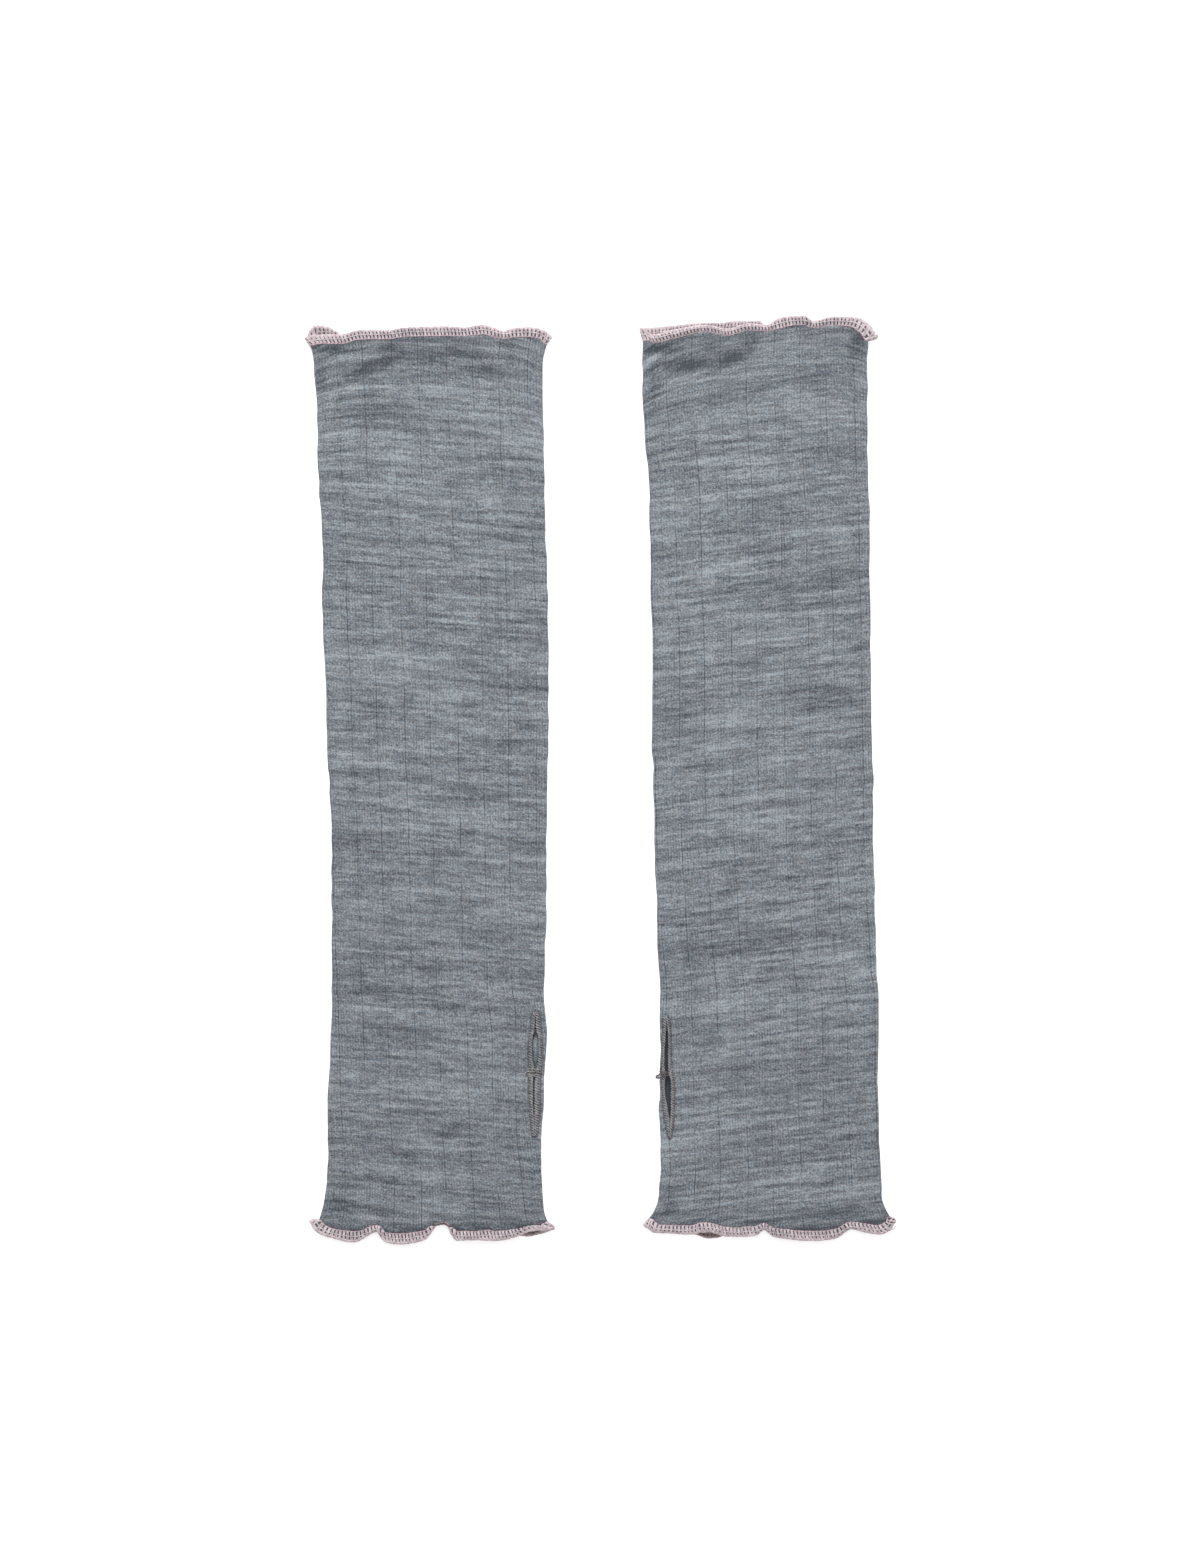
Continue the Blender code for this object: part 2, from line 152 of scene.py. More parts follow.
LEFT_ARM = End(
    "arm", line=176.0, outward=1, left=Flare(1.7, 3.8), right=Flare(1.6, 3.7),
    upper=table(
        Wave,
        (0, -2, 1, 1, 1.6), (0.03, -1.5, 1.7, 0.9, 1.4), (0.13, -1.1, 2.1, 0.5, 0.8),
        (0.2, 0.1, 3.8, 0.9, 1.2), (0.33, 0.5, 3.8, 0.9, 0.9), (0.38, 1, 4.7, 1.2, 1.5),
        (0.42, 1.3, 4.9, 1.4, 1.8), (0.6, 1.5, 5.3, 1.1, 1.2), (0.65, 1.4, 5, 0.8, 0.3),
        (0.74, 2.2, 5.8, 1.3, 1.7), (0.83, 0.8, 3.4, 0.7, 0.2), (0.875, 1, 4.6, 1, 1.1),
        (0.92, 1.2, 5, 1.2, 1.7), (0.98, 0.6, 3.8, 1.1, 1.7), (1, -1, 1.6, 1, 1.4),
    ),
    lower=table(
        Wave,
        (0, -2, 1, 0.4, 0.6), (0.015, -0.5, 5.3, 0.4, 0.8), (0.045, 1.4, 5.6, 0.4, 0.9),
        (0.075, 1.5, 5.2, 0.3, 0.8), (0.1, 0.8, 3.8, 0.2, 0.5), (0.13, -0.4, 2.2, 0, 0.2),
        (0.35, 0.2, 3, 0, 0), (0.62, 0.6, 3.6, 0.1, 0.3), (0.85, 0.2, 2.4, 0, 0),
        (1, -1.2, 1.2, 0.4, 0.6),
    ),
)
LEFT_HAND = End(
    "hand", line=-177.5, outward=-1, left=Flare(2.2, 6.0), right=Flare(2.6, 5.4),
    upper=table(
        Wave,
        (0, -0.8, -1, 1.2, 2.4), (0.008, -0.2, 1.3, 1.2, 2.3), (0.015, 0.4, 2.7, 1.3, 2.3),
        (0.06, 2.2, 5.1, 1.4, 1.9), (0.15, 2.8, 7.2, 1.8, 2), (0.247, 0.8, 2.8, 0.8, 0.2),
        (0.29, 3.4, 7.2, 1.7, 2.1), (0.35, 3.7, 7.9, 2.1, 2.4), (0.46, 2.5, 6.2, 1.9, 1.8),
        (0.49, 1, 2.7, 1.5, 0.8), (0.52, 0.2, -0.3, 1.5, 0.1), (0.55, -0.2, -1.8, 1.5, -0.5),
        (0.58, 1.2, 1.9, 1.6, 0.8), (0.61, 2.8, 6.4, 1.8, 2), (0.69, 3.3, 6.1, 1.5, 1.4),
        (0.75, 2.3, 6.4, 1.9, 2.3), (0.79, 3, 6.4, 1.8, 2.1), (0.82, 3.1, 6, 1.6, 2),
        (0.86, 2.6, 5, 1.5, 2), (0.9, 1.9, 3.5, 1.6, 2.6), (0.92, 1.4, 2.7, 1.6, 2.8),
        (0.95, 1.4, 2.3, 1.5, 2.7), (0.975, 1.2, 2.5, 1.4, 2), (1, -0.2, 1.6, 1.2, 1.6),
    ),
    lower=table(
        Wave,
        (0, -0.8, -1, 0.6, 0.9), (0.15, 1.4, 4.8, 0.2, 0.5), (0.25, -0.5, 2.2, 0, 0),
        (0.35, 2, 5.2, 0.1, 0.2), (0.55, -2.8, -0.2, 0, 0), (0.75, 1.6, 5, 0.2, 0.5),
        (0.86, 1.5, 4.4, 0.1, 0.3), (0.91, 1.7, 5, 0.1, 0.3), (0.945, 1.2, 4.4, 0.2, 0.4),
        (1, -0.2, 2.2, 0.5, 0.8),
    ),
)
RIGHT_ARM = End(
    "arm", line=176.0, outward=1, left=Flare(0.3, 1.9), right=Flare(0.1, 4.4),
    upper=table(
        Wave,
        (0, -0.2, 4.6, 0.9, 1.4), (0.04, -0.6, 1.8, 0.6, 0.6), (0.12, 0.9, 3.5, 0.8, 0.8),
        (0.27, 3.6, 5.4, 1.2, 0.9), (0.37, 2.1, 4.1, 0.6, 0.2), (0.47, 4.2, 6.1, 1.2, 1),
        (0.55, 3.8, 5.6, 0.8, 0.3), (0.605, 4.4, 8.4, 1.4, 1.5), (0.66, 5.6, 9.3, 1.7, 2.2),
        (0.72, 6.1, 9.4, 1.8, 2.4), (0.76, 5.2, 7.2, 1.1, 0.6), (0.85, 5.9, 9.1, 1.5, 1.9),
        (0.93, 5.3, 8.9, 1.4, 1.9), (0.98, 2.7, 5.6, 1.3, 2), (1, 0.2, 1.4, 1.2, 2),
    ),
    lower=table(
        Wave,
        (0, -0.2, 4.8, 0.3, 0.5), (0.1, 2, 5.5, 0.1, 0.3), (0.27, 3.4, 7, 0.2, 0.5),
        (0.35, 3.6, 7, 0.1, 0.3), (0.39, 3.9, 7.6, 0.1, 0.3), (0.515, 4, 7.9, 0.2, 0.4),
        (0.555, 1.8, 4.9, 0.1, 0.2), (0.72, 4, 6.4, 0.1, 0.3), (0.9, 3.2, 6.2, 0.1, 0.3),
        (1, 0.2, 1.4, 0.5, 0.8),
    ),
)
RIGHT_HAND = End(
    "hand", line=-177.5, outward=-1, left=Flare(3.6, 5.8), right=Flare(3.0, 5.0),
    upper=table(
        Wave,
        (0, -1.8, 0.8, 1, 1.8), (0.03, 0.8, 3.1, 1, 1.2), (0.08, 1, 3.4, 1, 1.1),
        (0.15, 1, 3.9, 1, 1), (0.175, 0.8, 3.8, 1.3, 1.5), (0.2, -0.1, 3, 1.9, 2.8),
        (0.235, 0, 2.9, 2, 2.9), (0.27, 0.8, 3.7, 1.8, 2.4), (0.3, 1.4, 4.6, 1.5, 1.8),
        (0.36, 2, 4.7, 1.4, 1.6), (0.4, 1, 4.8, 1.4, 1.7), (0.43, 1.2, 4.5, 1.4, 1.6),
        (0.47, 0.1, 2, 0.7, 0.2), (0.52, 2.1, 5.1, 1.4, 1.5), (0.7, 2.8, 6.5, 1.8, 2.2),
        (0.775, 2.3, 5.6, 1.4, 1.4), (0.845, -0.4, 1.7, 0.7, 0.2), (0.9, 0.1, 3.2, 1.2, 1.5),
        (0.95, 0.9, 3.9, 1.2, 1.7), (0.99, -0.4, 2, 1.2, 2), (1, -2.2, -0.6, 1.2, 2.2),
    ),
    lower=table(
        Wave,
        (0, -1.8, 0.8, 0.5, 0.8), (0.1, 0.8, 3.4, 0.1, 0.3), (0.15, 1.3, 4.2, 0.1, 0.3),
        (0.18, 1.8, 4.3, 0.1, 0.3), (0.23, 2.4, 5.9, 0.1, 0.3), (0.275, 2.2, 5.6, 0.1, 0.3),
        (0.31, 1.6, 4.1, 0.1, 0.2), (0.47, -0.8, 1.8, 0, 0), (0.7, 2, 5.2, 0.2, 0.5),
        (0.85, -1, 1.4, 0, 0), (1, -2.2, -0.6, 0.6, 1),
    ),
)

LEFT_TWIST = table(
    Twist,
    (-178, 8.8), (-164, 8), (-124, 5.4), (-84, 3), (-52, 2), (8, 1), (68, 0.6), (178, -0.3),
)
RIGHT_TWIST = table(
    Twist,
    (-178, 4.6), (-132, 4.2), (-92, 3.6), (-52, 2.3), (-12, 1.6), (28, 1.8), (68, 1.5), (104, 1.1),
    (178, 0),
)

# Openings of the thumb slits, between the lips.
LEFT_OPENING = table(
    Slit,
    (-142, -26.1, -26.1), (-136.5, -26.3, -26.2), (-133, -26.6, -26.2), (-127, -26.8, -26.2),
    (-121, -26.8, -26.1), (-117, -26.4, -25.8), (-114.8, -26.4, -25.2), (-112, -27, -24.7),
    (-106, -27.2, -24.6), (-102, -26.8, -24.8), (-100.2, -26.3, -25.4), (-98, -26.1, -25.7),
    (-95, -25.9, -25.7), (-93.4, -25.8, -25.8),
)
RIGHT_OPENING = table(
    Slit,
    (-142.8, 27.9, 27.9), (-136.5, 28, 28.1), (-133, 27.3, 28.3), (-130.2, 26.9, 28.4),
    (-126.2, 26.1, 28.4), (-122.2, 25.9, 28.4), (-119, 26, 28), (-117.2, 26.1, 27.3),
    (-115, 25.8, 27.3), (-110, 25.7, 27.3), (-106.5, 25.9, 27.4), (-104.2, 26.1, 27.3),
    (-101, 26.3, 27.2), (-98.2, 26.6, 26.9), (-95, 26.3, 26.3),
)

# Outer edges of the stitched lips round them.
LEFT_STITCHED = table(
    Slit,
    (-143, -26.2, -26.2), (-142.4, -27.2, -25.1), (-140, -27.6, -24.6), (-130, -28.4, -23.8),
    (-121, -28.7, -23.6), (-112, -28.8, -23.2), (-104, -28.6, -23.1), (-98, -27.8, -23.5),
    (-94, -27.3, -24), (-92.6, -26.7, -24.7), (-92.1, -25.7, -25.7),
)
RIGHT_STITCHED = table(
    Slit,
    (-143.9, 27.9, 27.9), (-143.4, 27.4, 28.4), (-141, 26.8, 28.9), (-134, 25.4, 29.8),
    (-125, 24.9, 30), (-121, 24.7, 29.8), (-117, 24.6, 29.2), (-108, 24.6, 28.6), (-99, 25, 28.3),
    (-96, 24.8, 28), (-94.2, 24.9, 27.3), (-93.7, 26, 26),
)

# A soft ridge or dip of the upper layer. x, y: its middle. angle: its course from +X, in
# degrees. length, width: half of its reach along and across. height: below 0 for a dip.
Crease = namedtuple("Crease", "x y angle length width height")

LEFT_CREASES = table(
    Crease,
    (-95, 163.4, 24, 9, 2.1, -0.9), (-85, 167.4, 20, 7, 2.4, -0.95), (-88, 155, 18, 20, 5.5, 0.7),
    (-97, 169, 15, 9, 2.6, 0.5), (-107, 172.3, 0, 7, 1.8, -0.85), (-84, 173.2, 20, 5, 1.9, -0.55),
    (-69, 168.6, -2, 10, 2.2, -0.45), (-53, 169.6, -12, 8, 2.4, -0.45),
    (-45, 165, -32, 8, 3, -0.3), (-56, 173.5, -15, 6, 2, -0.25), (-52, 157, -18, 20, 5.5, 0.6),
    (-68, 172.5, 0, 7, 3, 0.8), (-38, 171, -10, 8, 3.5, 0.3), (-111, 164, 80, 6, 2.2, -0.3),
    (-111, 158, 0, 3.5, 2, -0.5), (-90, -169, 0, 7, 3.5, 0.9), (-62, -169, 0, 8, 4, 1),
    (-103, -169, -14, 9, 2.2, -0.55), (-104, -173, 0, 9, 4.5, -0.5),
    (-88, -174, -25, 8, 2.2, -0.4), (-76, -168, 0, 9, 2, -0.35),
)
RIGHT_CREASES = table(
    Crease,
    (35, 165.8, 4, 12, 2.4, -0.78), (53, 168.6, 22, 8, 2.3, -0.95), (60.5, 172.5, 48, 5, 2, -0.6),
    (25, 172.3, 3, 8, 1.9, -0.85), (46, 158, 12, 24, 5.5, 0.7), (42, 172, 8, 9, 2.6, 0.6),
    (50, 174, 10, 5, 2.2, 0.6), (88, 170, 0, 14, 6, -0.22), (103, 176.5, -25, 3.5, 2.2, -0.95),
    (102, 171.5, -35, 5, 2.2, -0.75), (22, 159, 80, 8, 3.5, -0.45), (64, -168.5, 0, 7, 3.5, 0.8),
    (101, -167.5, 0, 7, 3.5, 0.9), (28, -171, 80, 5, 3.5, -0.45), (106, -173, 20, 8, 3, -0.25),
    (98, -175.5, 20, 4, 1.9, -0.5), (46, -173.5, 10, 8, 1.6, -0.35), (85, -168, 5, 12, 2, -0.25),
)

# A stretch of the body's rows: from, to and the distance between rows.
Rows = namedtuple("Rows", "first last step")
SKIN_ROWS = table(
    Rows,
    (-177.5, -161, 1.5), (-161, -146, 3), (-146, -91, 2), (-91, 161, 3.2), (161, 176, 1.5),
)
LINING_ROWS = table(
    Rows,
    (-177.5, -165, 3.2), (-165, -146, 9.5), (-146, -91, 2), (-91, 161, 63), (161, 176, 3.75),
)
HEM_ROWS = [0.4, 1.0, 1.7, 2.4, 2.9]  # past the needle line
HEM_RIM = 3.1  # the cloth's cut edge, inside the thread
RIM_TAPER = 0.6  # how thick that edge still is
FINE_RIBS = (-10, 82)  # ribs that can show from above have four columns each, the rest two


def curve_through(rows, column):
    """Return a function that runs smoothly through one column of a table, with no overshoot."""
    xs, ys = np.array([(row[0], getattr(row, column)) for row in rows], float).T
    steps = np.diff(ys) / np.diff(xs)
    before, after = steps[:-1], steps[1:]
    same_way = before * after > 0
    inner = 2 * before * after / np.where(same_way, before + after, np.inf)
    slopes = np.concatenate([steps[:1], inner, steps[-1:]])

    def value(x):
        x = np.clip(x, xs[0], xs[-1])
        i = np.clip(np.searchsorted(xs, x, side="right") - 1, 0, len(xs) - 2)
        width, climb = xs[i + 1] - xs[i], ys[i + 1] - ys[i]
        t = (x - xs[i]) / width
        hump = width * (slopes[i] * (1 - t) - slopes[i + 1] * t) + (2 * t - 1) * climb
        return mix(ys[i], ys[i + 1], t) + t * (1 - t) * hump

    return value


def mix(a, b, t):
    return a + (b - a) * t


def smooth_step(low, high, x):
    t = np.clip((x - low) / (high - low), 0.0, 1.0)
    return t * t * (3 - 2 * t)


def between(low, full, fall, end, x):
    """0 outside of low and end, 1 from full to fall, and smooth in between."""
    return smooth_step(low, full, x) * (1 - smooth_step(fall, end, x))


def soft_noise(seed, size):
    """Return smooth noise over the plan, from -1 to 1, with bumps about one size apart."""
    grid = np.random.default_rng(seed).uniform(-1, 1, (64, 64))

    def value(x, y):
        u, v = np.asarray(x) / size[0] + 32, np.asarray(y) / size[1] + 32
        i, j = np.floor(u).astype(int), np.floor(v).astype(int)
        s, t = smooth_step(0, 1, u - i), smooth_step(0, 1, v - j)
        i, j, k, m = i % 64, j % 64, (i + 1) % 64, (j + 1) % 64
        return mix(mix(grid[i, j], grid[k, j], s), mix(grid[i, m], grid[k, m], s), t)

    return value


def round_the_ring(rib):
    """Where a rib sits: across from fold to fold, height from -1 to 1, and turn outwards."""
    corners = np.cumsum([0, RIBS_ACROSS, RIBS_ROUND_FOLD, RIBS_ACROSS, RIBS_ROUND_FOLD])
    rib = np.mod(rib, RIBS)
    turn = np.interp(rib, corners, [0, 0, pi, pi, 2 * pi])
    return np.interp(rib, corners, [0, 1, 1, 0, 0]), np.cos(turn), np.sin(turn)


def ribs_from(start, rib):
    """How many ribs further round than start a rib is, the shorter way."""
    return np.mod(rib - start + RIBS / 2, RIBS) - RIBS / 2


class Tube:
    """The shape of one warmer: where any point of its cloth and thread lies."""

    def __init__(self, folds, hand, arm, twist, creases, opening, slit_rib, seed):
        self.left_line, self.right_line = [curve_through(folds, side) for side in SIDES]
        self.hand, self.arm = hand, arm
        self.waves = {
            (end.outward, layer, column): curve_through(getattr(end, layer), column)
            for end in (hand, arm)
            for layer in ("upper", "lower")
            for column in Wave._fields[1:]
        }
        self.twist = curve_through(twist, "ribs")
        self.creases = creases
        self.opening = opening
        self.slit_left, self.slit_right = [curve_through(opening, side) for side in SIDES]
        self.slit_rib = slit_rib
        self.seed = seed
        self.broad_rise = soft_noise(seed, BROAD_SIZE)
        self.small_rise = soft_noise(seed + 1, SMALL_SIZE)
        self.wobble = soft_noise(seed + 2, (1, 6))

    def left_fold(self, along):
        return self.left_line(along) + FOLD_WOBBLE * self.wobble(0, along)

    def right_fold(self, along):
        return self.right_line(along) + FOLD_WOBBLE * self.wobble(9, along)

    def inward(self, along):
        """Distance from the nearer end line, below 0 in a hem."""
        return min((end.line - along) * end.outward for end in (self.hand, self.arm))

    def wave(self, end, column, across, height):
        lines = [self.waves[end.outward, layer, column](across) for layer in ("lower", "upper")]
        return mix(*lines, (height + 1) / 2)

    def spread(self, end, across, column):
        """Sideways lean of the cloth at a hem's seam or edge, strongest at the folds."""

        def reach(flare, near):
            more = getattr(flare, column) - flare.seam
            return flare.seam * near**SEAM_SPREAD + more * near**EDGE_SPREAD

        return reach(end.right, across) - reach(end.left, 1 - across)

    def flat_part(self, along):
        """Where the upper layer leaves the left fold, and where it meets the right one."""
        return self.left_fold(along) + FOLD_RADIUS, self.right_fold(along) - FOLD_RADIUS

    def rib_at(self, x, along):
        """The place round the ring of a point on the upper layer."""
        left, right = self.flat_part(along)
        return (x - left) / (right - left) * RIBS_ACROSS

    def bow(self, rib, along, side):
        """How far the ribs bow round the slit. side: -1 left of the cut, 1 right of it."""
        natural = self.slit_rib + self.twist(along)
        first, last = self.opening[0].along, self.opening[-1].along
        cut = between(first - 1, first + 2, last - 2, last + 1, along)
        left = self.rib_at(self.slit_left(along) - LIP_HIDES * cut, along)
        right = self.rib_at(self.slit_right(along) + LIP_HIDES * cut, along)
        near = between(first - BOW_REACH, first, last, last + BOW_REACH, along)
        away = ribs_from(self.slit_rib, rib)
        drift = ((left + right) / 2 - natural) * near * np.exp(-((away / SHIFTED_RIBS) ** 2))
        spread = (right - left) / 2 * np.exp(-np.abs(away) / PARTED_RIBS)
        return drift + side * spread

    def rise(self, x, y):
        """Gentle unevenness of the upper layer, with its creases."""
        inward = np.minimum(self.arm.line - y, y - self.hand.line)
        from_fold = np.minimum(x - self.left_fold(y), self.right_fold(y) - x)
        springy = FOLD_SPRING * np.exp(-np.maximum(from_fold - SPRING_FROM, 0) / SPRING_REACH)
        bulges = BROAD_RISE * self.broad_rise(x, y) + SMALL_RISE * self.small_rise(x, y)
        creases = sum(self.crease_shape(c, x, y) * c.height for c in self.creases)
        calm = smooth_step(0, CALM_BY_HEM, inward) * (MEAN_RISE + springy + bulges)
        return calm + smooth_step(0, CREASES_BY_HEM, inward) * creases

    @staticmethod
    def crease_shape(crease, x, y):
        turn = radians(crease.angle)
        ahead = (x - crease.x) * cos(turn) + (y - crease.y) * sin(turn)
        aside = (y - crease.y) * cos(turn) - (x - crease.x) * sin(turn)
        return np.exp(-((ahead / crease.length) ** 2) - (aside / crease.width) ** 2)

    def section(self, across, out, along, depth):
        """x of the cloth at a depth under its outer face, round a plain flat tube."""
        return mix(*self.flat_part(along), across) + out * (FOLD_RADIUS - depth)

    def on_body(self, rib, along, high):
        """Points of the cloth between the hems, high mm outwards from the middle of the wall."""
        across, height, out = round_the_ring(rib)
        depth = WALL / 2 - high
        x, y = self.section(across, out, along, depth), along
        z, top, bottom = 0.0, FLAT_HEIGHT, 0.0
        for end in (self.hand, self.arm):
            inward = max((end.line - along) * end.outward, 0.0)
            fade = max(1 - inward / WAVE_REACH, 0.0) ** 2
            x = x + self.spread(end, across, "seam") * np.exp(-inward / FLARE_REACH)
            y = y + self.wave(end, "seam", across, height) * fade * end.outward
            z = z + self.wave(end, "seam_lift", across, height) * fade
            top += (MOUTH_HEIGHT - FLAT_HEIGHT) * fade
            bottom += (HEM_REST - WALL / 2) * fade
        z = z + mix(bottom + depth, top - depth, (height + 1) / 2)
        return np.stack([x, y, z + self.rise(x, along) * np.clip(height, 0, 1)], -1)

    def hem_line(self, end, rib, column):
        """The middle of the wall where a hem begins, or at its edge."""
        across, height, out = round_the_ring(rib)
        depth = HEM_WALL / 2
        x = self.section(across, out, end.line, depth) + self.spread(end, across, column)
        y = end.line + self.wave(end, column, across, height) * end.outward
        z = mix(HEM_REST, MOUTH_HEIGHT - depth, (height + 1) / 2)
        return np.stack([x, y, z + self.wave(end, column + "_lift", across, height)], -1)

    def on_hem(self, end, rib, out, high):
        """Points of a hem, out mm past the needle line and high mm off the middle of its wall."""
        reach = (out / BAND)[..., None] if np.ndim(out) else out / BAND
        before, here, after = [
            [self.hem_line(end, rib + step, column) for column in ("seam", "edge")]
            for step in (-ASIDE, 0.0, ASIDE)
        ]
        chord = here[1] - here[0]
        length = np.linalg.norm(chord, axis=-1, keepdims=True)
        normal = np.cross(mix(*after, reach) - mix(*before, reach), chord) * end.outward
        normal /= np.linalg.norm(normal, axis=-1, keepdims=True)
        # A band longer than its chord crowns upwards, but sags where it hangs down. The slack
        # is the height of a flat arch of that length.
        _, height, _ = round_the_ring(rib)
        bulge = np.clip(1 + SAGGING * chord[..., 2:] / length, MOST_SAG, 1)
        slack = np.sqrt(np.maximum(3 / 8 * length * (BAND - length), 0))
        crown = slack * bulge * np.clip(height, 0, 1)[..., None]
        middle = mix(*here, reach) + normal * crown * 4 * reach * (1 - reach)
        tilt = normal - chord / length * (crown * 4 * (1 - 2 * reach) / length)
        tilt /= np.linalg.norm(tilt, axis=-1, keepdims=True)
        high = np.asarray(high, float)
        return middle + tilt * (high[..., None] if high.ndim else high)

    def cloth(self, rib, along, high, side=0):
        """Points of the cloth at one station, in the body or past its end, in a hem."""
        place = rib + self.twist(along) + self.bow(rib, along, side)
        for end in (self.hand, self.arm):
            out = (along - end.line) * end.outward
            if out > 0:
                return self.on_hem(end, place, out, high)
        return self.on_body(place, along, high)

    def top_at(self, x, along):
        """Height of the upper layer's skin over a place in plan."""
        left, right = self.flat_part(along)
        past = np.clip(np.maximum(left - x, x - right), 0, FOLD_RADIUS)
        drop = FOLD_RADIUS - np.sqrt(FOLD_RADIUS**2 - past**2)
        return FLAT_HEIGHT - drop + self.rise(x, along)


def stations(rows):
    """Places along a tube, spaced evenly in each stretch."""
    places = []
    for first, last, step in rows:
        count = max(round((last - first) / step), 1)
        places += [mix(first, last, k / count) for k in range(count)]
    return places + [rows[-1].last]


def columns():
    """Rib of each column round a tube: grooves are at whole numbers."""
    first, last = FINE_RIBS
    fine = np.arange(first * 4, last * 4) / 4
    coarse = np.arange(last * 2, (first + RIBS) * 2) / 2
    return np.concatenate([fine, coarse])


def from_groove(rib):
    """0 in the groove between two ribs, 1 on top of a rib."""
    return 1 - np.abs(2 * np.mod(rib, 1.0) - 1)


def needle_lines(rib):
    """1 at the grooves where a needle was left out, else 0."""
    lines = [round(FIRST_NEEDLE_LINE + k * RIBS / NEEDLE_LINES) % RIBS for k in range(NEEDLE_LINES)]
    return np.isin(np.mod(rib, RIBS), lines).astype(float)


def put_in_scene(name, data):
    made = bpy.data.objects.new(name, data)
    bpy.context.scene.collection.objects.link(made)
    return made


def make_mesh(name, points, faces, material):
    """A smooth mesh object from points in millimetres."""
    mesh = bpy.data.meshes.new(name)
    mesh.from_pydata((np.asarray(points) * MM).tolist(), [], faces)
    mesh.materials.append(material)
    mesh.shade_smooth()
    return put_in_scene(name, mesh)


def write_values(mesh, name, values):
    layer = mesh.attributes.new(name, "FLOAT", "POINT")
    layer.data.foreach_set("value", np.asarray(values, np.float32))


# How the rows of knitting droop at the arm end's folds: by how much, and how far in.
LEFT_DROOP, RIGHT_DROOP = (9, 12), (5, 7)
DROOP_LENGTH = 70  # along the tube


def course_at(tube, slant, x, y):
    """How far up the knitting a stitch is, with rows that slant by some degrees."""
    near_arm = smooth_step(tube.arm.line - DROOP_LENGTH, tube.arm.line, y)
    left = LEFT_DROOP[0] * np.exp(-np.maximum(x - tube.left_fold(y), 0) / LEFT_DROOP[1])
    right = RIGHT_DROOP[0] * np.exp(-np.maximum(tube.right_fold(y) - x, 0) / RIGHT_DROOP[1])
    return y + x * tan(radians(slant)) + near_arm * (left + right)


# Painted shade: how much darker the cloth is drawn where it is squeezed, folded or in shadow
HEM_SHADE, MOUTH_SHADE = 0.55, 0.6  # painted shade in the overlock stitch, more on its inner face
DIP_SHADE = 1.1  # painted shade in a dip, for each mm of its depth
OUTLINE_SHADE, OUTLINE_REACH = 0.3, 0.4  # painted shade where topstitching pulls the cloth in
LIP_SHADE = 0.9  # painted shade on the lining under a slit's lips
LIP_SIDES = [(1.0, 0.5), (0.6, 0.4)]  # left and right: share of it, and its reach
SEAM_REACH = 2.0
GATHER_SIZE = (9, 400)  # noise of the gathers in the painted shade, drawn out along the tube

# Painted shade beside an end line, where the cloth gathers and rises to the hem: at the seam,
# how much the gathers change that, and a broader part with its reach.
EndShade = namedtuple("EndShade", "name seam gathers broad reach")
END_SHADES = table(EndShade, ("hand", 0.5, 0.3, 0.24, 9), ("arm", 0.3, 0.2, 0.08, 7))


def shade_body(tube, lip, points, along, lining, gloom):
    """Painted shade: how much darker each point of a body is drawn. gloom: the same for its whole
    lining.
    """
    x, y, z = points.T
    on_top = z > FLAT_HEIGHT / 2
    gathers = soft_noise(tube.seed + 7, GATHER_SIZE)(x, y)
    shade = np.zeros(len(points))
    inward = np.full(len(points), np.inf)
    for name, seam, varies, broad, reach in END_SHADES:
        end = getattr(tube, name)
        from_end = (end.line - along) * end.outward
        inward = np.minimum(inward, from_end)
        shade += (seam + varies * gathers) * np.exp(-((from_end / SEAM_REACH) ** 2))
        shade += broad * np.exp(-((from_end / reach) ** 2))
    in_hem = inward < 0
    shade[in_hem] = HEM_SHADE
    for dip in tube.creases:
        if dip.height < 0:
            depth = -dip.height * tube.crease_shape(dip, x, y)
            shade = np.maximum(shade, DIP_SHADE * depth * on_top)
    outline_groove_shade = np.exp(-((lip.past_outline(x, y) / OUTLINE_REACH) ** 2))
    shade = np.maximum(shade, OUTLINE_SHADE * outline_groove_shade * on_top)
    first, last = tube.opening[0].along, tube.opening[-1].along
    under_lips = 0.0
    for edge, (share, reach) in zip((tube.slit_left(y), tube.slit_right(y)), LIP_SIDES):
        under_lips = under_lips + share * np.exp(-(((x - edge) / reach) ** 2))
    in_slit = between(first, first + 2, last - 2, last, y)
    shade[lining] += np.where(in_hem, MOUTH_SHADE, gloom)[lining]
    shade[lining] += LIP_SHADE * (in_slit * under_lips)[lining]
    return shade


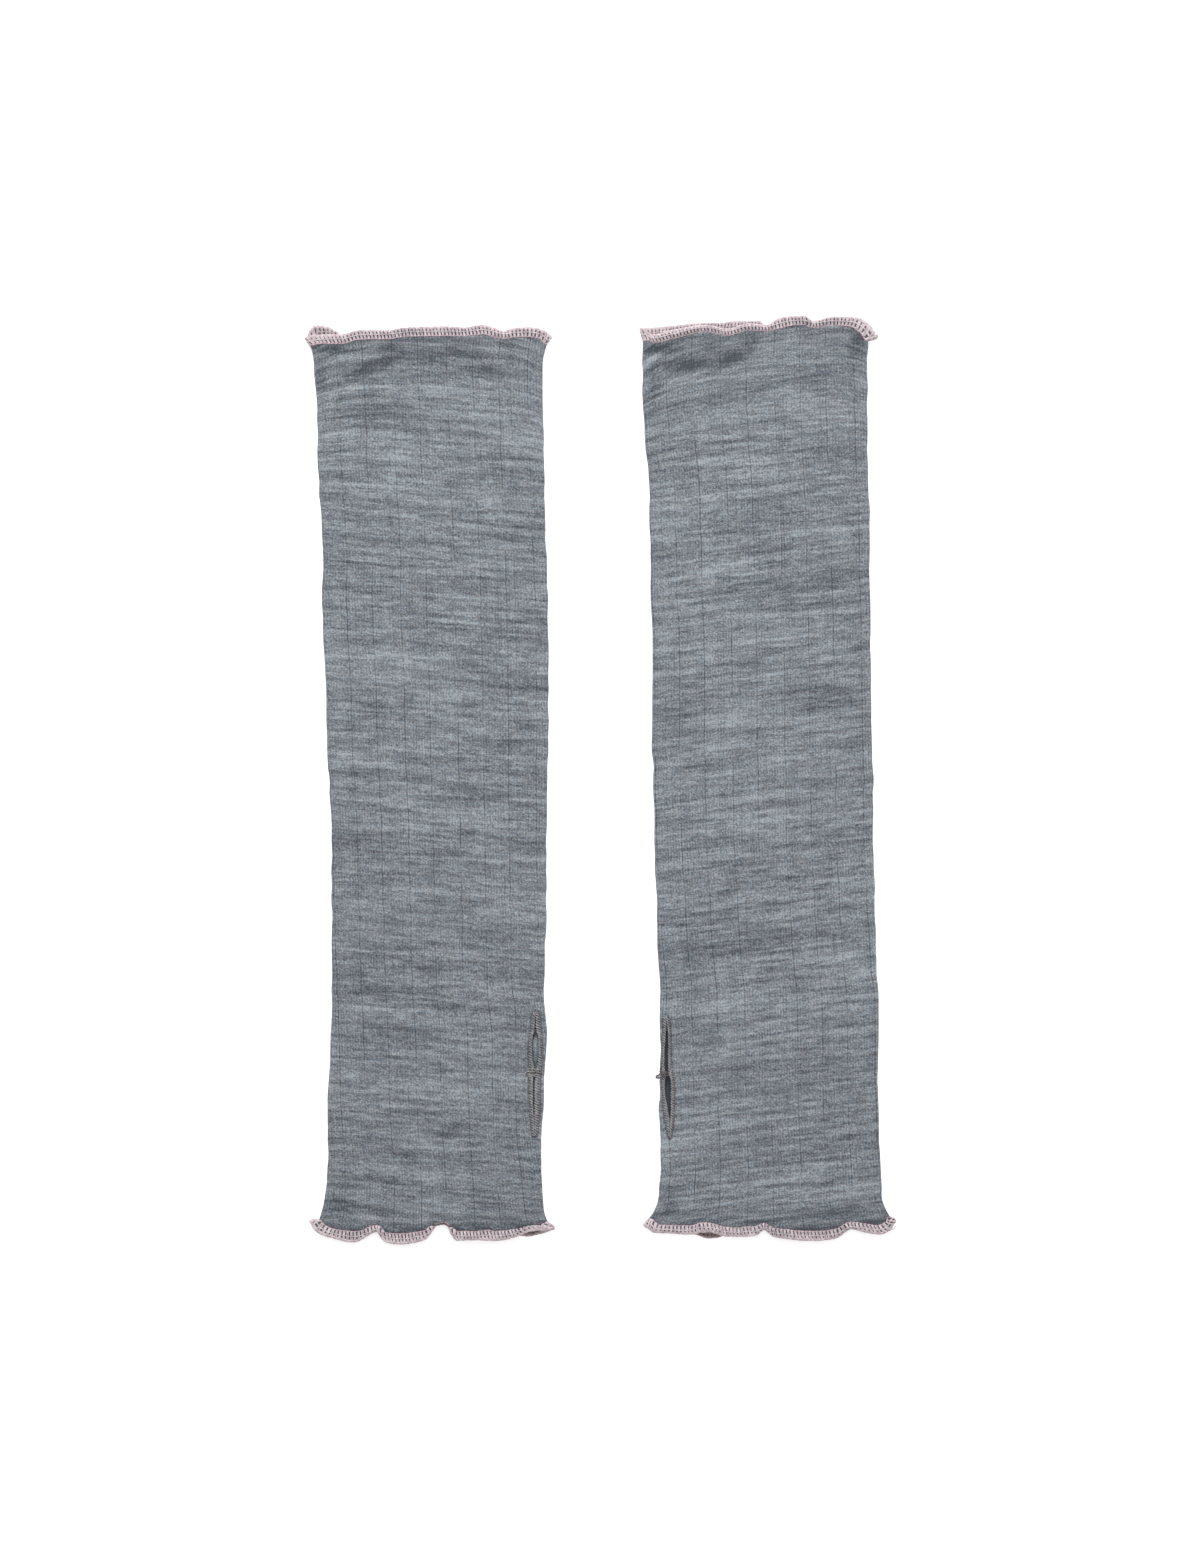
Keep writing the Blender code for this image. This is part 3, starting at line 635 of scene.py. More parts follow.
def make_body(name, tube, lip, slant, gloom, material):
    """The knitted tube as one closed shell, cut through at the thumb slit."""
    ribs = columns()
    crown, missed = from_groove(ribs), needle_lines(ribs)
    relief = RIB_DEPTH * (1 - np.sin(crown * pi / 2)) + NEEDLE_LINE_DEPTH * missed

    def skin(along):
        inward = tube.inward(along)
        if inward < 0:
            return HEM_CLOTH / 2 - relief * FLATTENED
        pinched = np.exp(-(inward**2)) * (WALL + HEM_CLOTH - HEM_WALL) / 2
        return WALL / 2 - pinched - relief * (1 - (1 - FLATTENED) * np.exp(-inward / 2))

    # One loop of rows: the skin from hand to arm, round the cut edge and back as the lining.
    hand_rows = [tube.hand.line - out for out in reversed(HEM_ROWS)]
    arm_rows = [tube.arm.line + out for out in HEM_ROWS]
    skin_rows = hand_rows + stations(SKIN_ROWS) + arm_rows
    lining_rows = arm_rows[::-2] + stations(LINING_ROWS)[::-1] + hand_rows[::-2]
    half_hem = np.full_like(ribs, HEM_CLOTH / 2)
    loop = [(along, skin(along)) for along in skin_rows]
    loop += [(tube.arm.line + HEM_RIM, half_hem * share) for share in (RIM_TAPER, -RIM_TAPER)]
    for along in lining_rows:
        inside = tube.hand.line < along < tube.arm.line
        loop.append((along, -WALL / 2 * np.ones_like(ribs) if inside else -half_hem))
    loop += [(tube.hand.line - HEM_RIM, half_hem * share) for share in (-RIM_TAPER, RIM_TAPER)]

    # The column at the slit has points of its own for the cut's right side.
    first, last = tube.opening[0].along, tube.opening[-1].along
    cut = int(np.argmin(np.abs(ribs - tube.slit_rib)))
    side = np.where(ribs_from(tube.slit_rib, ribs) > 0, 1, -1)
    points = [tube.cloth(ribs, along, high, side) for along, high in loop]
    rows, width = len(loop), len(ribs)
    parted = [row for row, (along, _) in enumerate(loop) if first < along < last]
    at_cut = slice(cut, cut + 1)
    points += [tube.cloth(ribs[at_cut], loop[row][0], loop[row][1][at_cut], 1) for row in parted]
    points = np.concatenate(points)

    grid = np.arange(rows * width).reshape(rows, width)
    right_grid = grid.copy()
    right_grid[parted, cut] = rows * width + np.arange(len(parted))
    beside = np.roll(grid, -1, 1)
    faces = [right_grid, beside, np.roll(beside, -1, 0), np.roll(right_grid, -1, 0)]
    faces = np.stack(faces, -1).reshape(-1, 4)

    # Walls through the cloth close both sides of the cut.
    skin_count = len(skin_rows)
    back = {round(along, 6): skin_count + 2 + i for i, along in enumerate(lining_rows)}
    walls = []
    for r in range(skin_count - 1):
        if r in parted or r + 1 in parted:
            inner = [back[round(along, 6)] for along in skin_rows[r : r + 2]]
            for edge, order in ((grid, (0, 1, 2, 3)), (right_grid, (0, 3, 2, 1))):
                wall = [int(edge[k, cut]) for k in (r, *inner, r + 1)]
                walls.append([wall[k] for k in order])
    piece = make_mesh(name, points, faces.tolist() + walls, material)
    mesh = piece.data

    def write_columns(title, values, at_cut=0.0):
        write_values(mesh, title, np.append(np.tile(values, rows), [at_cut] * len(parted)))

    rng = np.random.default_rng(tube.seed + 5)
    whole_ribs = np.arange(FINE_RIBS[0] - 1, RIBS + 1)
    unevenness = rng.uniform(-1, 1, len(whole_ribs))
    write_columns("crown", crown, crown[cut])
    write_columns("unevenness", np.interp(ribs, whole_ribs, unevenness))
    write_columns("needle_line", missed)
    along = np.repeat([along for along, _ in loop] + [first], [width] * rows + [len(parted)])
    lining = grid[skin_count + 2 :]
    # The painted shade of the hems, creases, slit and lining.
    write_values(mesh, "painted_shade", shade_body(tube, lip, points, along, lining, gloom))
    write_values(mesh, "course", course_at(tube, slant, points[:, 0], points[:, 1]))
    lay_out_body(mesh, points, faces, walls, skin_count, rows, width)
    return piece


# A rectangle of the body's flat map: the rows and columns of faces in it, its place on the map
# and whether it lies on its side.
Panel = namedtuple("Panel", "rows columns left bottom right top turned")


def lay_out_body(mesh, points, faces, walls, skin_count, rows, width):
    """Give the body a flat map with most room for the cloth that shows from above."""
    fine = (FINE_RIBS[1] - FINE_RIBS[0]) * 4
    half = skin_count // 2
    grid = points[: rows * width].reshape(rows, width, 3)
    step = np.linalg.norm(np.diff(np.concatenate([grid, grid[:1]]), axis=0), axis=2).mean(1)
    down = np.concatenate([[0], np.cumsum(step)])
    over = np.concatenate([columns(), [columns()[0] + RIBS]])
    # The upper layer's arm half and hand half, the underside and the lining.
    panels = table(
        Panel,
        ((half, skin_count + 1), (0, fine), 0.003, 0.345, 0.372, 0.997, False),
        ((0, half), (0, fine), 0.378, 0.345, 0.747, 0.997, False),
        ((0, skin_count + 1), (fine, width), 0.753, 0.003, 0.997, 0.997, False),
        ((skin_count + 1, rows), (0, width), 0.003, 0.003, 0.747, 0.339, True),
    )
    corners = np.zeros((len(faces), 4, 2))
    for panel in panels:
        face_row, face_column = np.mgrid[slice(*panel.rows), slice(*panel.columns)]
        inside = face_row * width + face_column
        low, high = down[list(panel.rows)]
        near, far = over[list(panel.columns)]
        for corner, (more_rows, more_columns) in enumerate([(0, 0), (0, 1), (1, 1), (1, 0)]):
            v = (down[face_row + more_rows] - low) / (high - low)
            u = (over[face_column + more_columns] - near) / (far - near)
            if panel.turned:
                u, v = v, 1 - u
            corners[inside, corner, 0] = mix(panel.left, panel.right, u)
            corners[inside, corner, 1] = mix(panel.bottom, panel.top, v)
    # The walls of the slit share the strip that the panels leave free.
    share = np.arange(len(walls) + 1) / len(walls)
    strip = np.zeros((len(walls), 4, 2))
    strip[..., 0] = (0.7485, 0.7515, 0.7515, 0.7485)
    strip[..., 1] = mix(0.35, 0.95, np.stack([share[:-1], share[:-1], share[1:], share[1:]], 1))
    flat = mesh.uv_layers.new(name="OFBake", do_init=False)
    uv = np.concatenate([corners.reshape(-1), strip.reshape(-1)]).astype(np.float32)
    flat.uv.foreach_set("vector", uv)


# One thread: its path in millimetres, its thickness as a share of the piece's, whether it runs
# round without an end, and which of the piece's threads it is.
Strand = namedtuple("Strand", "path share closed kind")


def through_keys(keys, steps, closed):
    """A smooth path through key points, with some steps between each two."""
    keys = np.asarray(keys, float)
    if closed:
        ring = np.concatenate([keys[-1:], keys, keys[:2]])
    else:
        ring = np.concatenate([2 * keys[:1] - keys[1:2], keys, 2 * keys[-1:] - keys[-2:-1]])
    a, b, c, d = ring[:-3, None], ring[1:-2, None], ring[2:-1, None], ring[3:, None]
    t = (np.arange(steps) / steps)[None, :, None]
    path = 0.5 * (
        2 * b + (c - a) * t + (2 * a - 5 * b + 4 * c - d) * t**2 + (3 * b - a - 3 * c + d) * t**3
    )
    path = path.reshape(-1, keys.shape[1])
    return path if closed else np.concatenate([path, keys[-1:]])


def through_keys_round(keys, steps):
    """through_keys for a path whose first column grows by a full round of stitches."""
    turn = np.array([STITCHES, 0, 0])
    ring = np.concatenate([keys[-1:] - turn, keys, keys[:2] + turn])
    return through_keys(ring, steps, False)[steps : steps * (len(keys) + 1)]


def make_threads(name, strands, radius, materials):
    """All threads of one seam as one piece of round yarn."""
    curve = bpy.data.curves.new(name, "CURVE")
    curve.dimensions = "3D"
    curve.bevel_depth = radius * MM
    curve.bevel_resolution = 1
    curve.use_fill_caps = True
    for material in materials:
        curve.materials.append(material)
    for path, share, closed, kind in strands:
        spline = curve.splines.new("POLY")
        spline.points.add(len(path) - 1)
        places = np.concatenate([path * MM, np.ones((len(path), 1))], 1)
        spline.points.foreach_set("co", places.ravel())
        spline.points.foreach_set("radius", np.broadcast_to(share, len(path)).astype(float))
        spline.use_cyclic_u = closed
        spline.material_index = kind
    drawn = put_in_scene(name + "_path", curve)
    ready = drawn.evaluated_get(bpy.context.evaluated_depsgraph_get())
    mesh = bpy.data.meshes.new_from_object(ready)
    bpy.data.objects.remove(drawn)
    bpy.data.curves.remove(curve)
    mesh.shade_smooth()
    mesh.name = name
    return put_in_scene(name, mesh)


# A key point of a thread in one stitch. forward: along the seam, in stitches. out: mm past the
# needle line. high: mm off the middle of the wall, + on the outer face.
Key = namedtuple("Key", "forward out high")

THREAD_FACE = 0.44  # middle of the threads on a face, off the middle of the wall
UPPER_LOOPER = table(
    Key,
    (0, 3.3, 0.1), (0.12, 3.05, THREAD_FACE + 0.02), (0.36, 1.7, THREAD_FACE),
    (0.6, 0.4, THREAD_FACE), (0.74, 0.12, THREAD_FACE), (0.88, 0.4, THREAD_FACE),
    (0.68, 1.7, THREAD_FACE), (0.48, 3.05, THREAD_FACE + 0.02), (0.45, 3.32, 0.12),
    (0.72, 3.25, -0.12),
)
LOWER_LOOPER = [Key(forward + 0.3, out, -high) for forward, out, high in UPPER_LOOPER]
NEEDLE_STITCH = table(
    Key, (0, 0, THREAD_FACE - 0.1), (0.25, 0, THREAD_FACE + 0.2), (0.75, 0, THREAD_FACE + 0.2)
)
UNDER_STITCH = [Key(forward, out, -high) for forward, out, high in NEEDLE_STITCH]
RIM_COIL = table(Key, (0, 3.22, 0.4), (0.3, 3.46, 0.02), (0.5, 3.22, -0.4), (0.8, 3.05, 0.02))
RIM_CORD = [Key(0.0, 3.16, 0.0)]
NEEDLE_LINE, SECOND_LINE = 0.1, 1.75  # where its two rows of needle stitches are

# How full the thread looks, as a share of its thickness
FULLNESS = 0.95
FULLER_AT = [(0.1, 0.8, 0.55), (3.4, 1.1, 0.7)]  # mm past the needle line, reach and how much
BUNCHING, BUNCH_SIZE = 0.3, (7, 5)
FANNING, FAN_POWER = 0.26, 12  # for each mm that a fold's corner is spread
UNEVENNESS = (0.6, 1.0, 0.4)  # how uneven the stitches are along the seam, out and high


def overlock_paths(tube, end, seed):
    """Every thread of the overlock stitch round one end of a tube. The inner face of a hand end
    has a darker copy of the pale thread, painted shade for the shadow in its mouth."""
    rng = np.random.default_rng(seed)
    bunching = soft_noise(seed + 1, BUNCH_SIZE)

    def run(keys, shift_out=0.0, shift_forward=0.0, slack=0.05, share=1.0, kind=0):
        stitches = np.tile(np.array(keys, float), (STITCHES, 1))
        stitches[:, 0] += np.repeat(np.arange(STITCHES), len(keys)) + shift_forward
        stitches[:, 1] += shift_out
        stitches += rng.normal(0, slack, stitches.shape) * UNEVENNESS
        forward, out, high = through_keys_round(stitches, 2).T
        rib = forward * RIBS / STITCHES * end.outward + tube.twist(end.line)
        across, _, _ = round_the_ring(rib)
        fan_right, fan_left = [side.edge - side.seam for side in (end.right, end.left)]
        full = FULLNESS + BUNCHING * bunching(forward, 0 * out)
        for place, reach, more in FULLER_AT:
            full = full + more * np.exp(-(((out - place) / reach) ** 2))
        fan = fan_right * across**FAN_POWER + fan_left * (1 - across) ** FAN_POWER
        full = full + FANNING * fan
        return Strand(tube.on_hem(end, rib, out, high), share * full, True, kind)

    # The hand ends' inner faces take the darker copy of the thread, a painted shade.
    inside = 2 if end is tube.hand else 0
    first_line = {"shift_out": NEEDLE_LINE, "slack": 0.03, "share": 0.62}
    second_line = {"shift_out": SECOND_LINE, "shift_forward": 0.45, "slack": 0.04, "share": 0.9}
    return [
        run(UPPER_LOOPER),
        run(LOWER_LOOPER, kind=inside),
        run(RIM_COIL),
        run(RIM_CORD, share=1.6),
        run(NEEDLE_STITCH, **first_line, kind=1),
        run(NEEDLE_STITCH, **second_line),
        run(UNDER_STITCH, **first_line, kind=inside or 1),
        run(UNDER_STITCH, **second_line, kind=inside),
    ]


# Thread ends that were left to hang where a round of overlock meets.
LOOSE_END_SHARE = 0.8  # of the thread's thickness
LOOSE_ENDS = {
    "left_arm": [
        [(-111.6, 178.6, 3.2), (-112.6, 180.2, 4), (-113.6, 181.2, 4.2), (-114.8, 181.7, 4)],
        [(-111.2, 179.4, 3.2), (-112.2, 181.2, 4), (-113.4, 182.2, 4.3), (-114.2, 182.9, 4.2)],
        [(-109.2, 179.6, 3.2), (-110.6, 181.6, 3.9), (-112, 181.9, 4.1), (-113, 181.4, 3.9)],
    ],
    "right_hand": [
        [(114.6, -178.6, 3.4), (116.2, -179.6, 4), (117.6, -179.3, 4), (118.2, -178.4, 3.6)],
    ],
}


# A corner of the lip's section. over: 0 at the opening, 1 at the stitched outline. high: mm
# above the skin of the upper layer. shade: painted shade, how much darker than the cloth it is.
Corner = namedtuple("Corner", "over high shade")
LIP_SECTION = table(
    Corner,
    (0, -0.9, 0.6), (-0.03, -0.2, 0.5), (0.02, 0.2, 0.2), (0.12, 0.42, 0), (0.32, 0.46, 0),
    (0.48, 0.34, 0.1), (0.58, 0.16, 0.5), (0.68, 0.14, 0.4), (0.8, 0.28, 0), (0.92, 0.2, 0.2),
    (1, 0, 0.7), (0.98, -0.25, 0.7), (0.55, -0.32, 0.5), (0.24, -0.5, 0.5), (0.22, -0.98, 0.5),
    (0.38, -1.12, 0.5), (0.32, -1.32, 0.5), (0.1, -1.3, 0.5),
)


LIP_STEPS, FINE_STEPS = 220, 1200  # round a lip's mesh, and to measure its length


class Lip:
    """The turned edge of a thumb slit. Places round it go from 0 to 1, from its arm end."""

    def __init__(self, tube, stitched):
        self.tube = tube
        self.outlines = []
        for rows in (tube.opening, stitched):
            first, last = rows[0].along, rows[-1].along
            left, right = [curve_through(rows, side) for side in SIDES]
            self.outlines.append(((first + last) / 2, (last - first) / 2, left, right))

    def at(self, round_slit, over, high):
        turn = 2 * pi * np.asarray(round_slit)
        middle, half, _, _ = self.outlines[1]
        outer_along = middle + half * np.cos(turn)
        plans = []
        for middle, half, left, right in self.outlines:
            reach = (outer_along - middle) / half
            reach = reach / (1 + np.abs(reach) ** 40) ** (1 / 40)  # never past either tip
            along = middle + half * reach
            x = np.where(np.sin(turn) > 0, right(along), left(along))
            plans.append(np.stack([x, along], -1))
        x, along = np.moveaxis(mix(*plans, np.asarray(over)[..., None]), -1, 0)
        return np.stack([x, along, self.tube.top_at(x, along) + high], -1)

    def past_outline(self, x, y):
        """Roughly how far a place in plan is outside the stitched outline."""
        middle, half, left, right = self.outlines[1]
        beside = np.maximum(np.maximum(left(y) - x, x - right(y)), 0)
        return np.hypot(beside, np.maximum(np.abs(y - middle) - half, 0))

    def rows(self, keys, length, rng):
        """A row of stitches round the slit."""
        fine = np.linspace(0, 1, FINE_STEPS + 1)
        path = self.at(fine, np.full_like(fine, keys[0][1]), 0.0)
        run = np.concatenate([[0], np.cumsum(np.linalg.norm(np.diff(path, axis=0), axis=1))])
        count = round(run[-1] / length)
        stitches = np.tile(np.array(keys, float), (count, 1))
        stitches[:, 0] += np.repeat(np.arange(count), len(keys))
        stitches += rng.normal(0, 0.05, stitches.shape) * (1.2, 1, 0.6)
        forward, over, high = stitches.T
        forward = np.interp(forward / count, run / run[-1], fine)
        return through_keys(self.at(forward, over, high), 3, True)


def make_lip(name, lip, slant, material):
    """The lip as one closed band that wraps the cut edge of the cloth."""
    round_slit = np.arange(LIP_STEPS) / LIP_STEPS
    rings = [lip.at(round_slit, np.full_like(round_slit, c.over), c.high) for c in LIP_SECTION]
    points = np.stack(rings, 1)
    around, across = points.shape[:2]
    grid = np.arange(around * across).reshape(around, across)
    ahead = np.roll(grid, -1, 0)
    faces = np.stack([grid, ahead, np.roll(ahead, -1, 1), np.roll(grid, -1, 1)], -1)
    points = points.reshape(-1, 3)
    piece = make_mesh(name, points, faces.reshape(-1, 4).tolist(), material)
    x, y, _ = points.T
    write_values(piece.data, "course", course_at(lip.tube, slant, x, y))
    write_values(piece.data, "crown", np.full(len(points), 0.5))
    # Painted shade in the lip's grooves, at its edges and on its underside.
    write_values(piece.data, "painted_shade", np.tile([c.shade for c in LIP_SECTION], around))
    return piece


# Key points of one stitch of a slit: forward in stitches, then over and high as in a Corner.
TOPSTITCH_KEYS = [(0, 0.88, -0.1), (0.14, 0.86, 0.2), (0.5, 0.89, 0.26), (0.86, 0.92, 0.2)]
WHIPSTITCH_KEYS = [
    (0, 0.04, -0.45), (0.06, 0.02, 0.1), (0.25, 0.14, 0.52),
    (0.6, 0.48, 0.5), (0.85, 0.76, 0.38), (0.95, 0.6, -0.25),
]


def slit_paths(lip, knots, seed):
    """The stitches of a thumb slit, with its loose ends and bars."""
    rng = np.random.default_rng(seed)
    strands = [
        Strand(lip.rows(TOPSTITCH_KEYS, TOPSTITCH, rng), 1.0, True, 1),
        Strand(lip.rows(WHIPSTITCH_KEYS, WHIPSTITCH, rng), 1.0, True, 0),
    ]
    for kind, share, knot in knots:
        x, y, high = np.array(knot, float).T
        keys = np.stack([x, y, lip.tube.top_at(x, y) + high], -1)
        strands.append(Strand(through_keys(keys, 4, False), share, False, kind))
    return strands


def colour(code):
    """Turn an sRGB hex code into linear red, green, blue and alpha."""
    parts = [int(code[i : i + 2], 16) / 255 for i in (1, 3, 5)]
    return (*[p / 12.92 if p <= 0.04045 else ((p + 0.055) / 1.055) ** 2.4 for p in parts], 1.0)


def add(material, kind, settings=(), **inputs):
    """Add a node. A value that is a socket is linked, and any other is set on the input."""
    tree = material.node_tree
    made = tree.nodes.new("ShaderNode" + kind)
    for key, value in dict(settings).items():
        setattr(made, key, value)
    for key, value in inputs.items():
        place = int(key[1:]) if key[0] == "_" else key.replace("_", " ")
        socket = made.inputs[place]
        if isinstance(value, bpy.types.NodeSocket):
            tree.links.new(value, socket)
        else:
            socket.default_value = value
    return made


def new_material(name):
    material = bpy.data.materials.new(name)
    material.use_nodes = True
    material.node_tree.nodes.clear()
    return material


def blended(material, parts):
    """Add up patterns about an even 0.5. Each part is a socket, its weight and its middle."""
    total = 0.5 - sum(weight * middle for _, weight, middle in parts)
    for part, weight, _ in parts:
        sum_up = {"operation": "MULTIPLY_ADD"}
        total = add(material, "Math", sum_up, _0=part, _1=weight, _2=total).outputs[0]
    return total


def rib_knitted_wool():
    """Heather grey merino, rib-knitted: matt, softly furred ribs whose grooves are drawn darker
    as painted shade, and light and dark streaks along the rows where the blended fibres bunch
    in the yarn, some of them warmer and some cooler in tone."""
    wool = new_material("rib_knitted_heather_merino")
    multiply, colours = {"operation": "MULTIPLY"}, {"data_type": "RGBA"}
    place = add(wool, "TexCoord").outputs["Object"]
    parts = add(wool, "SeparateXYZ", Vector=place)
    course, crown, missed, painted_shade, uneven = [
        add(wool, "Attribute", {"attribute_name": name}).outputs["Fac"]
        for name in ("course", "crown", "needle_line", "painted_shade", "unevenness")
    ]
    across, deep = [
        add(wool, "Math", multiply, _0=parts.outputs[axis], _1=1 / MM).outputs[0]
        for axis in ("X", "Z")
    ]
    knit = add(wool, "CombineXYZ", X=across, Y=course, Z=deep).outputs[0]

    def patches(length, thickness, roughness=0.5, shift=0.0, over=knit):
        """Noise with patches of a length along the rows of stitches, in mm."""
        size = {"_1": (1 / length, 1 / thickness, 1 / 4), "_2": (shift,) * 3}
        stretched = add(wool, "VectorMath", {"operation": "MULTIPLY_ADD"}, _0=over, **size)
        noise = {"Scale": 1.0, "Detail": 2.0, "Roughness": roughness}
        return add(wool, "TexNoise", Vector=stretched.outputs[0], **noise).outputs[0]

    askew = add(wool, "VectorRotate", {"rotation_type": "Z_AXIS"}, Vector=knit, Angle=0.6)
    fibres = patches(0.75, 0.62, 0.7, over=askew.outputs[0])
    rib_strength = add(
        wool, "MapRange", Value=patches(14, 30, shift=7.3), From_Min=0.35, From_Max=0.65,
        To_Min=0.5, To_Max=1.5,
    ).outputs[0]
    # Painted shade: the grooves between the ribs are drawn darker than their crowns; each rib also
    # has a random tone of its own.
    ribs = blended(wool, [(crown, 1.0, 1.0), (uneven, 0.22, 0.0)])
    ribs = add(wool, "Math", multiply, _0=ribs, _1=rib_strength).outputs[0]
    # Painted shade in the wider grooves of the needle lines, which fades in and out.
    faded = add(
        wool, "MapRange", {"interpolation_type": "SMOOTHSTEP"}, Value=patches(9, 24, shift=3.1),
        From_Min=0.36, From_Max=0.56,
    ).outputs[0]
    lines = add(wool, "Math", multiply, _0=missed, _1=faded).outputs[0]
    # The last part of the tone is the painted shade written on the body and the lips.
    tone = blended(
        wool,
        [
            (patches(60, 12, shift=5.7), 0.4, 0.5),
            (patches(36, 2.4), 0.98, 0.5),
            (patches(8, 1.2, 0.6), 1.0, 0.5),
            (fibres, 1.85, 0.5),
            (ribs, 0.17, 0.0),
            (lines, -0.36, 0.0),
            (painted_shade, -0.6, 0.0),
        ],
    )
    grey = add(wool, "ValToRGB", Fac=tone)
    ramp = grey.color_ramp.elements
    ramp[0].color, ramp[1].color = colour("#454A51"), colour("#9EA5AB")
    ramp.new(0.5).color = colour("#74797F")
    warmth = add(
        wool, "MapRange", Value=patches(5, 1.1, 0.6, shift=9.4), From_Min=0.3, From_Max=0.7
    ).outputs[0]
    cool, warm = colour("#F8FCFF"), colour("#FFFAF6")
    cast = add(wool, "Mix", colours, _0=warmth, _6=cool, _7=warm).outputs[2]
    tinting = {**colours, "blend_type": "MULTIPLY"}
    shade = add(wool, "Mix", tinting, _0=1.0, _6=grey.outputs[0], _7=cast)

    # Loops of yarn lean to both sides of each rib, like a plait. Each is 0.8 mm high.
    plait = add(wool, "Math", multiply, _0=crown, _1=0.4).outputs[0]
    lean = {"operation": "MULTIPLY_ADD"}
    turns = add(wool, "Math", lean, _0=course, _1=1 / 0.8, _2=plait).outputs[0]
    angle = add(wool, "Math", multiply, _0=turns, _1=2 * pi).outputs[0]
    loops = add(wool, "Math", {"operation": "SINE"}, _0=angle).outputs[0]
    height = blended(wool, [(loops, 0.15, 0.0), (fibres, 1.0, 0.5)])
    bump = add(wool, "Bump", Strength=0.6, Distance=0.25 * MM, Height=height)
    surface = add(
        wool, "BsdfPrincipled", Base_Color=shade.outputs[2], Roughness=0.92,
        Specular_IOR_Level=0.2, Sheen_Weight=0.12, Sheen_Roughness=0.5, Normal=bump.outputs[0],
    )
    surface.inputs["Sheen Tint"].default_value = colour("#C9CDD2")
    add(wool, "OutputMaterial", Surface=surface.outputs[0])
    return wool


def textured_thread(name, dull, bright):
    """Textured nylon overlock thread: soft, full and slightly glossy, a little uneven in tone."""
    thread = new_material(name)
    place = add(thread, "TexCoord").outputs["Object"]
    tone = add(thread, "TexNoise", Vector=place, Scale=1 / (1.4 * MM), Detail=2.0).outputs[0]
    soft = {"interpolation_type": "SMOOTHSTEP"}
    spread = add(thread, "MapRange", soft, Value=tone, From_Min=0.35, From_Max=0.65).outputs[0]
    tones = {"_6": colour(dull), "_7": colour(bright)}
    shade = add(thread, "Mix", {"data_type": "RGBA"}, _0=spread, **tones)
    surface = add(
        thread, "BsdfPrincipled", Base_Color=shade.outputs[2], Roughness=0.6,
        Specular_IOR_Level=0.35, Sheen_Weight=0.1, Sheen_Roughness=0.4,
    )
    add(thread, "OutputMaterial", Surface=surface.outputs[0])
    return thread


def light_table():
    """Matt white acrylic, lit from below a little, so hardly any shadow falls on it."""
    acrylic = new_material("white_acrylic_light_table")
    surface = add(
        acrylic, "BsdfPrincipled", Base_Color=colour("#FCFCFC"), Roughness=0.9,
        Specular_IOR_Level=0.2, Emission_Color=colour("#FFFFFF"), Emission_Strength=0.45,
    )
    add(acrylic, "OutputMaterial", Surface=surface.outputs[0])
    return acrylic


# Bars of thread across each slit and loose ends beside it: which thread, its thickness as a
# share, then x, y and height above the skin.
LEFT_KNOTS = [
    (0, 1, [(-29, -115.7, 0.2), (-27.2, -115.4, 0.7), (-25.4, -115.8, 0.7), (-24.3, -115.5, 0.2)]),
    (0, 1, [(-28.9, -116.4, 0.2), (-26.8, -116.6, 0.8), (-25.2, -116.3, 0.7),
              (-24.4, -116.5, 0.2)]),
    (1, 1, [(-28.8, -117.1, 0.2), (-26.9, -117, 0.7), (-25.3, -117.4, 0.7), (-24.3, -117.1, 0.2)]),
    (0, 1, [(-28.9, -117.8, 0.2), (-27, -117.9, 0.7), (-25.2, -117.7, 0.8), (-24.4, -118, 0.2)]),
    (0, 1, [(-28.7, -118.5, 0.2), (-26.9, -118.3, 0.7), (-25.4, -118.6, 0.7),
              (-24.5, -118.4, 0.2)]),
    (1, 1, [(-27.7, -99.7, 0.2), (-26.6, -99.9, 0.6), (-25.2, -99.8, 0.4)]),
    (0, 1.2, [(-28.4, -116.6, 0.4), (-29.6, -116.9, 0.5), (-30.1, -118.2, 0.4),
              (-30.5, -120.2, 0.3)]),
]
RIGHT_KNOTS = [
    (1, 1.5, [(23.9, -116.7, 0), (24.8, -116.5, 0.5), (26.2, -116.8, 0.8), (27.8, -116.6, 0.3)]),
    (1, 1.5, [(23.9, -117.4, 0), (24.9, -117.5, 0.6), (26, -117.2, 0.8), (27.6, -117.5, 0.4)]),
    (1, 1.5, [(23.8, -118.2, 0), (24.8, -118, 0.5), (25.9, -118.3, 0.8), (27, -118.1, 0.3)]),
    (1, 1.5, [(23.9, -118.9, 0), (24.9, -119.1, 0.5), (25.8, -118.8, 0.7), (26.3, -119.2, 0.2)]),
    (0, 1, [(29.4, -115.4, 0.2), (28.4, -116.4, 0.6), (28.2, -117.8, 0.6), (28.9, -119.6, 0.3)]),
    (1, 1.2, [(24.6, -116.2, 0.5), (24, -115.8, 0.2), (24.3, -115, 0.3)]),
    (1, 1.4, [(24.6, -117.6, 0.5), (23.6, -117.9, 0.1), (22.6, -118.4, -0.3), (22.5, -119.2, -0.2),
              (23.6, -119.3, 0.2), (24.6, -118.8, 0.5)]),
    (0, 1.4, [(24.5, -118, 0.4), (23.5, -118.4, 0), (22.9, -118.9, -0.3), (23.7, -119, 0),
              (24.5, -118.5, 0.4)]),
]

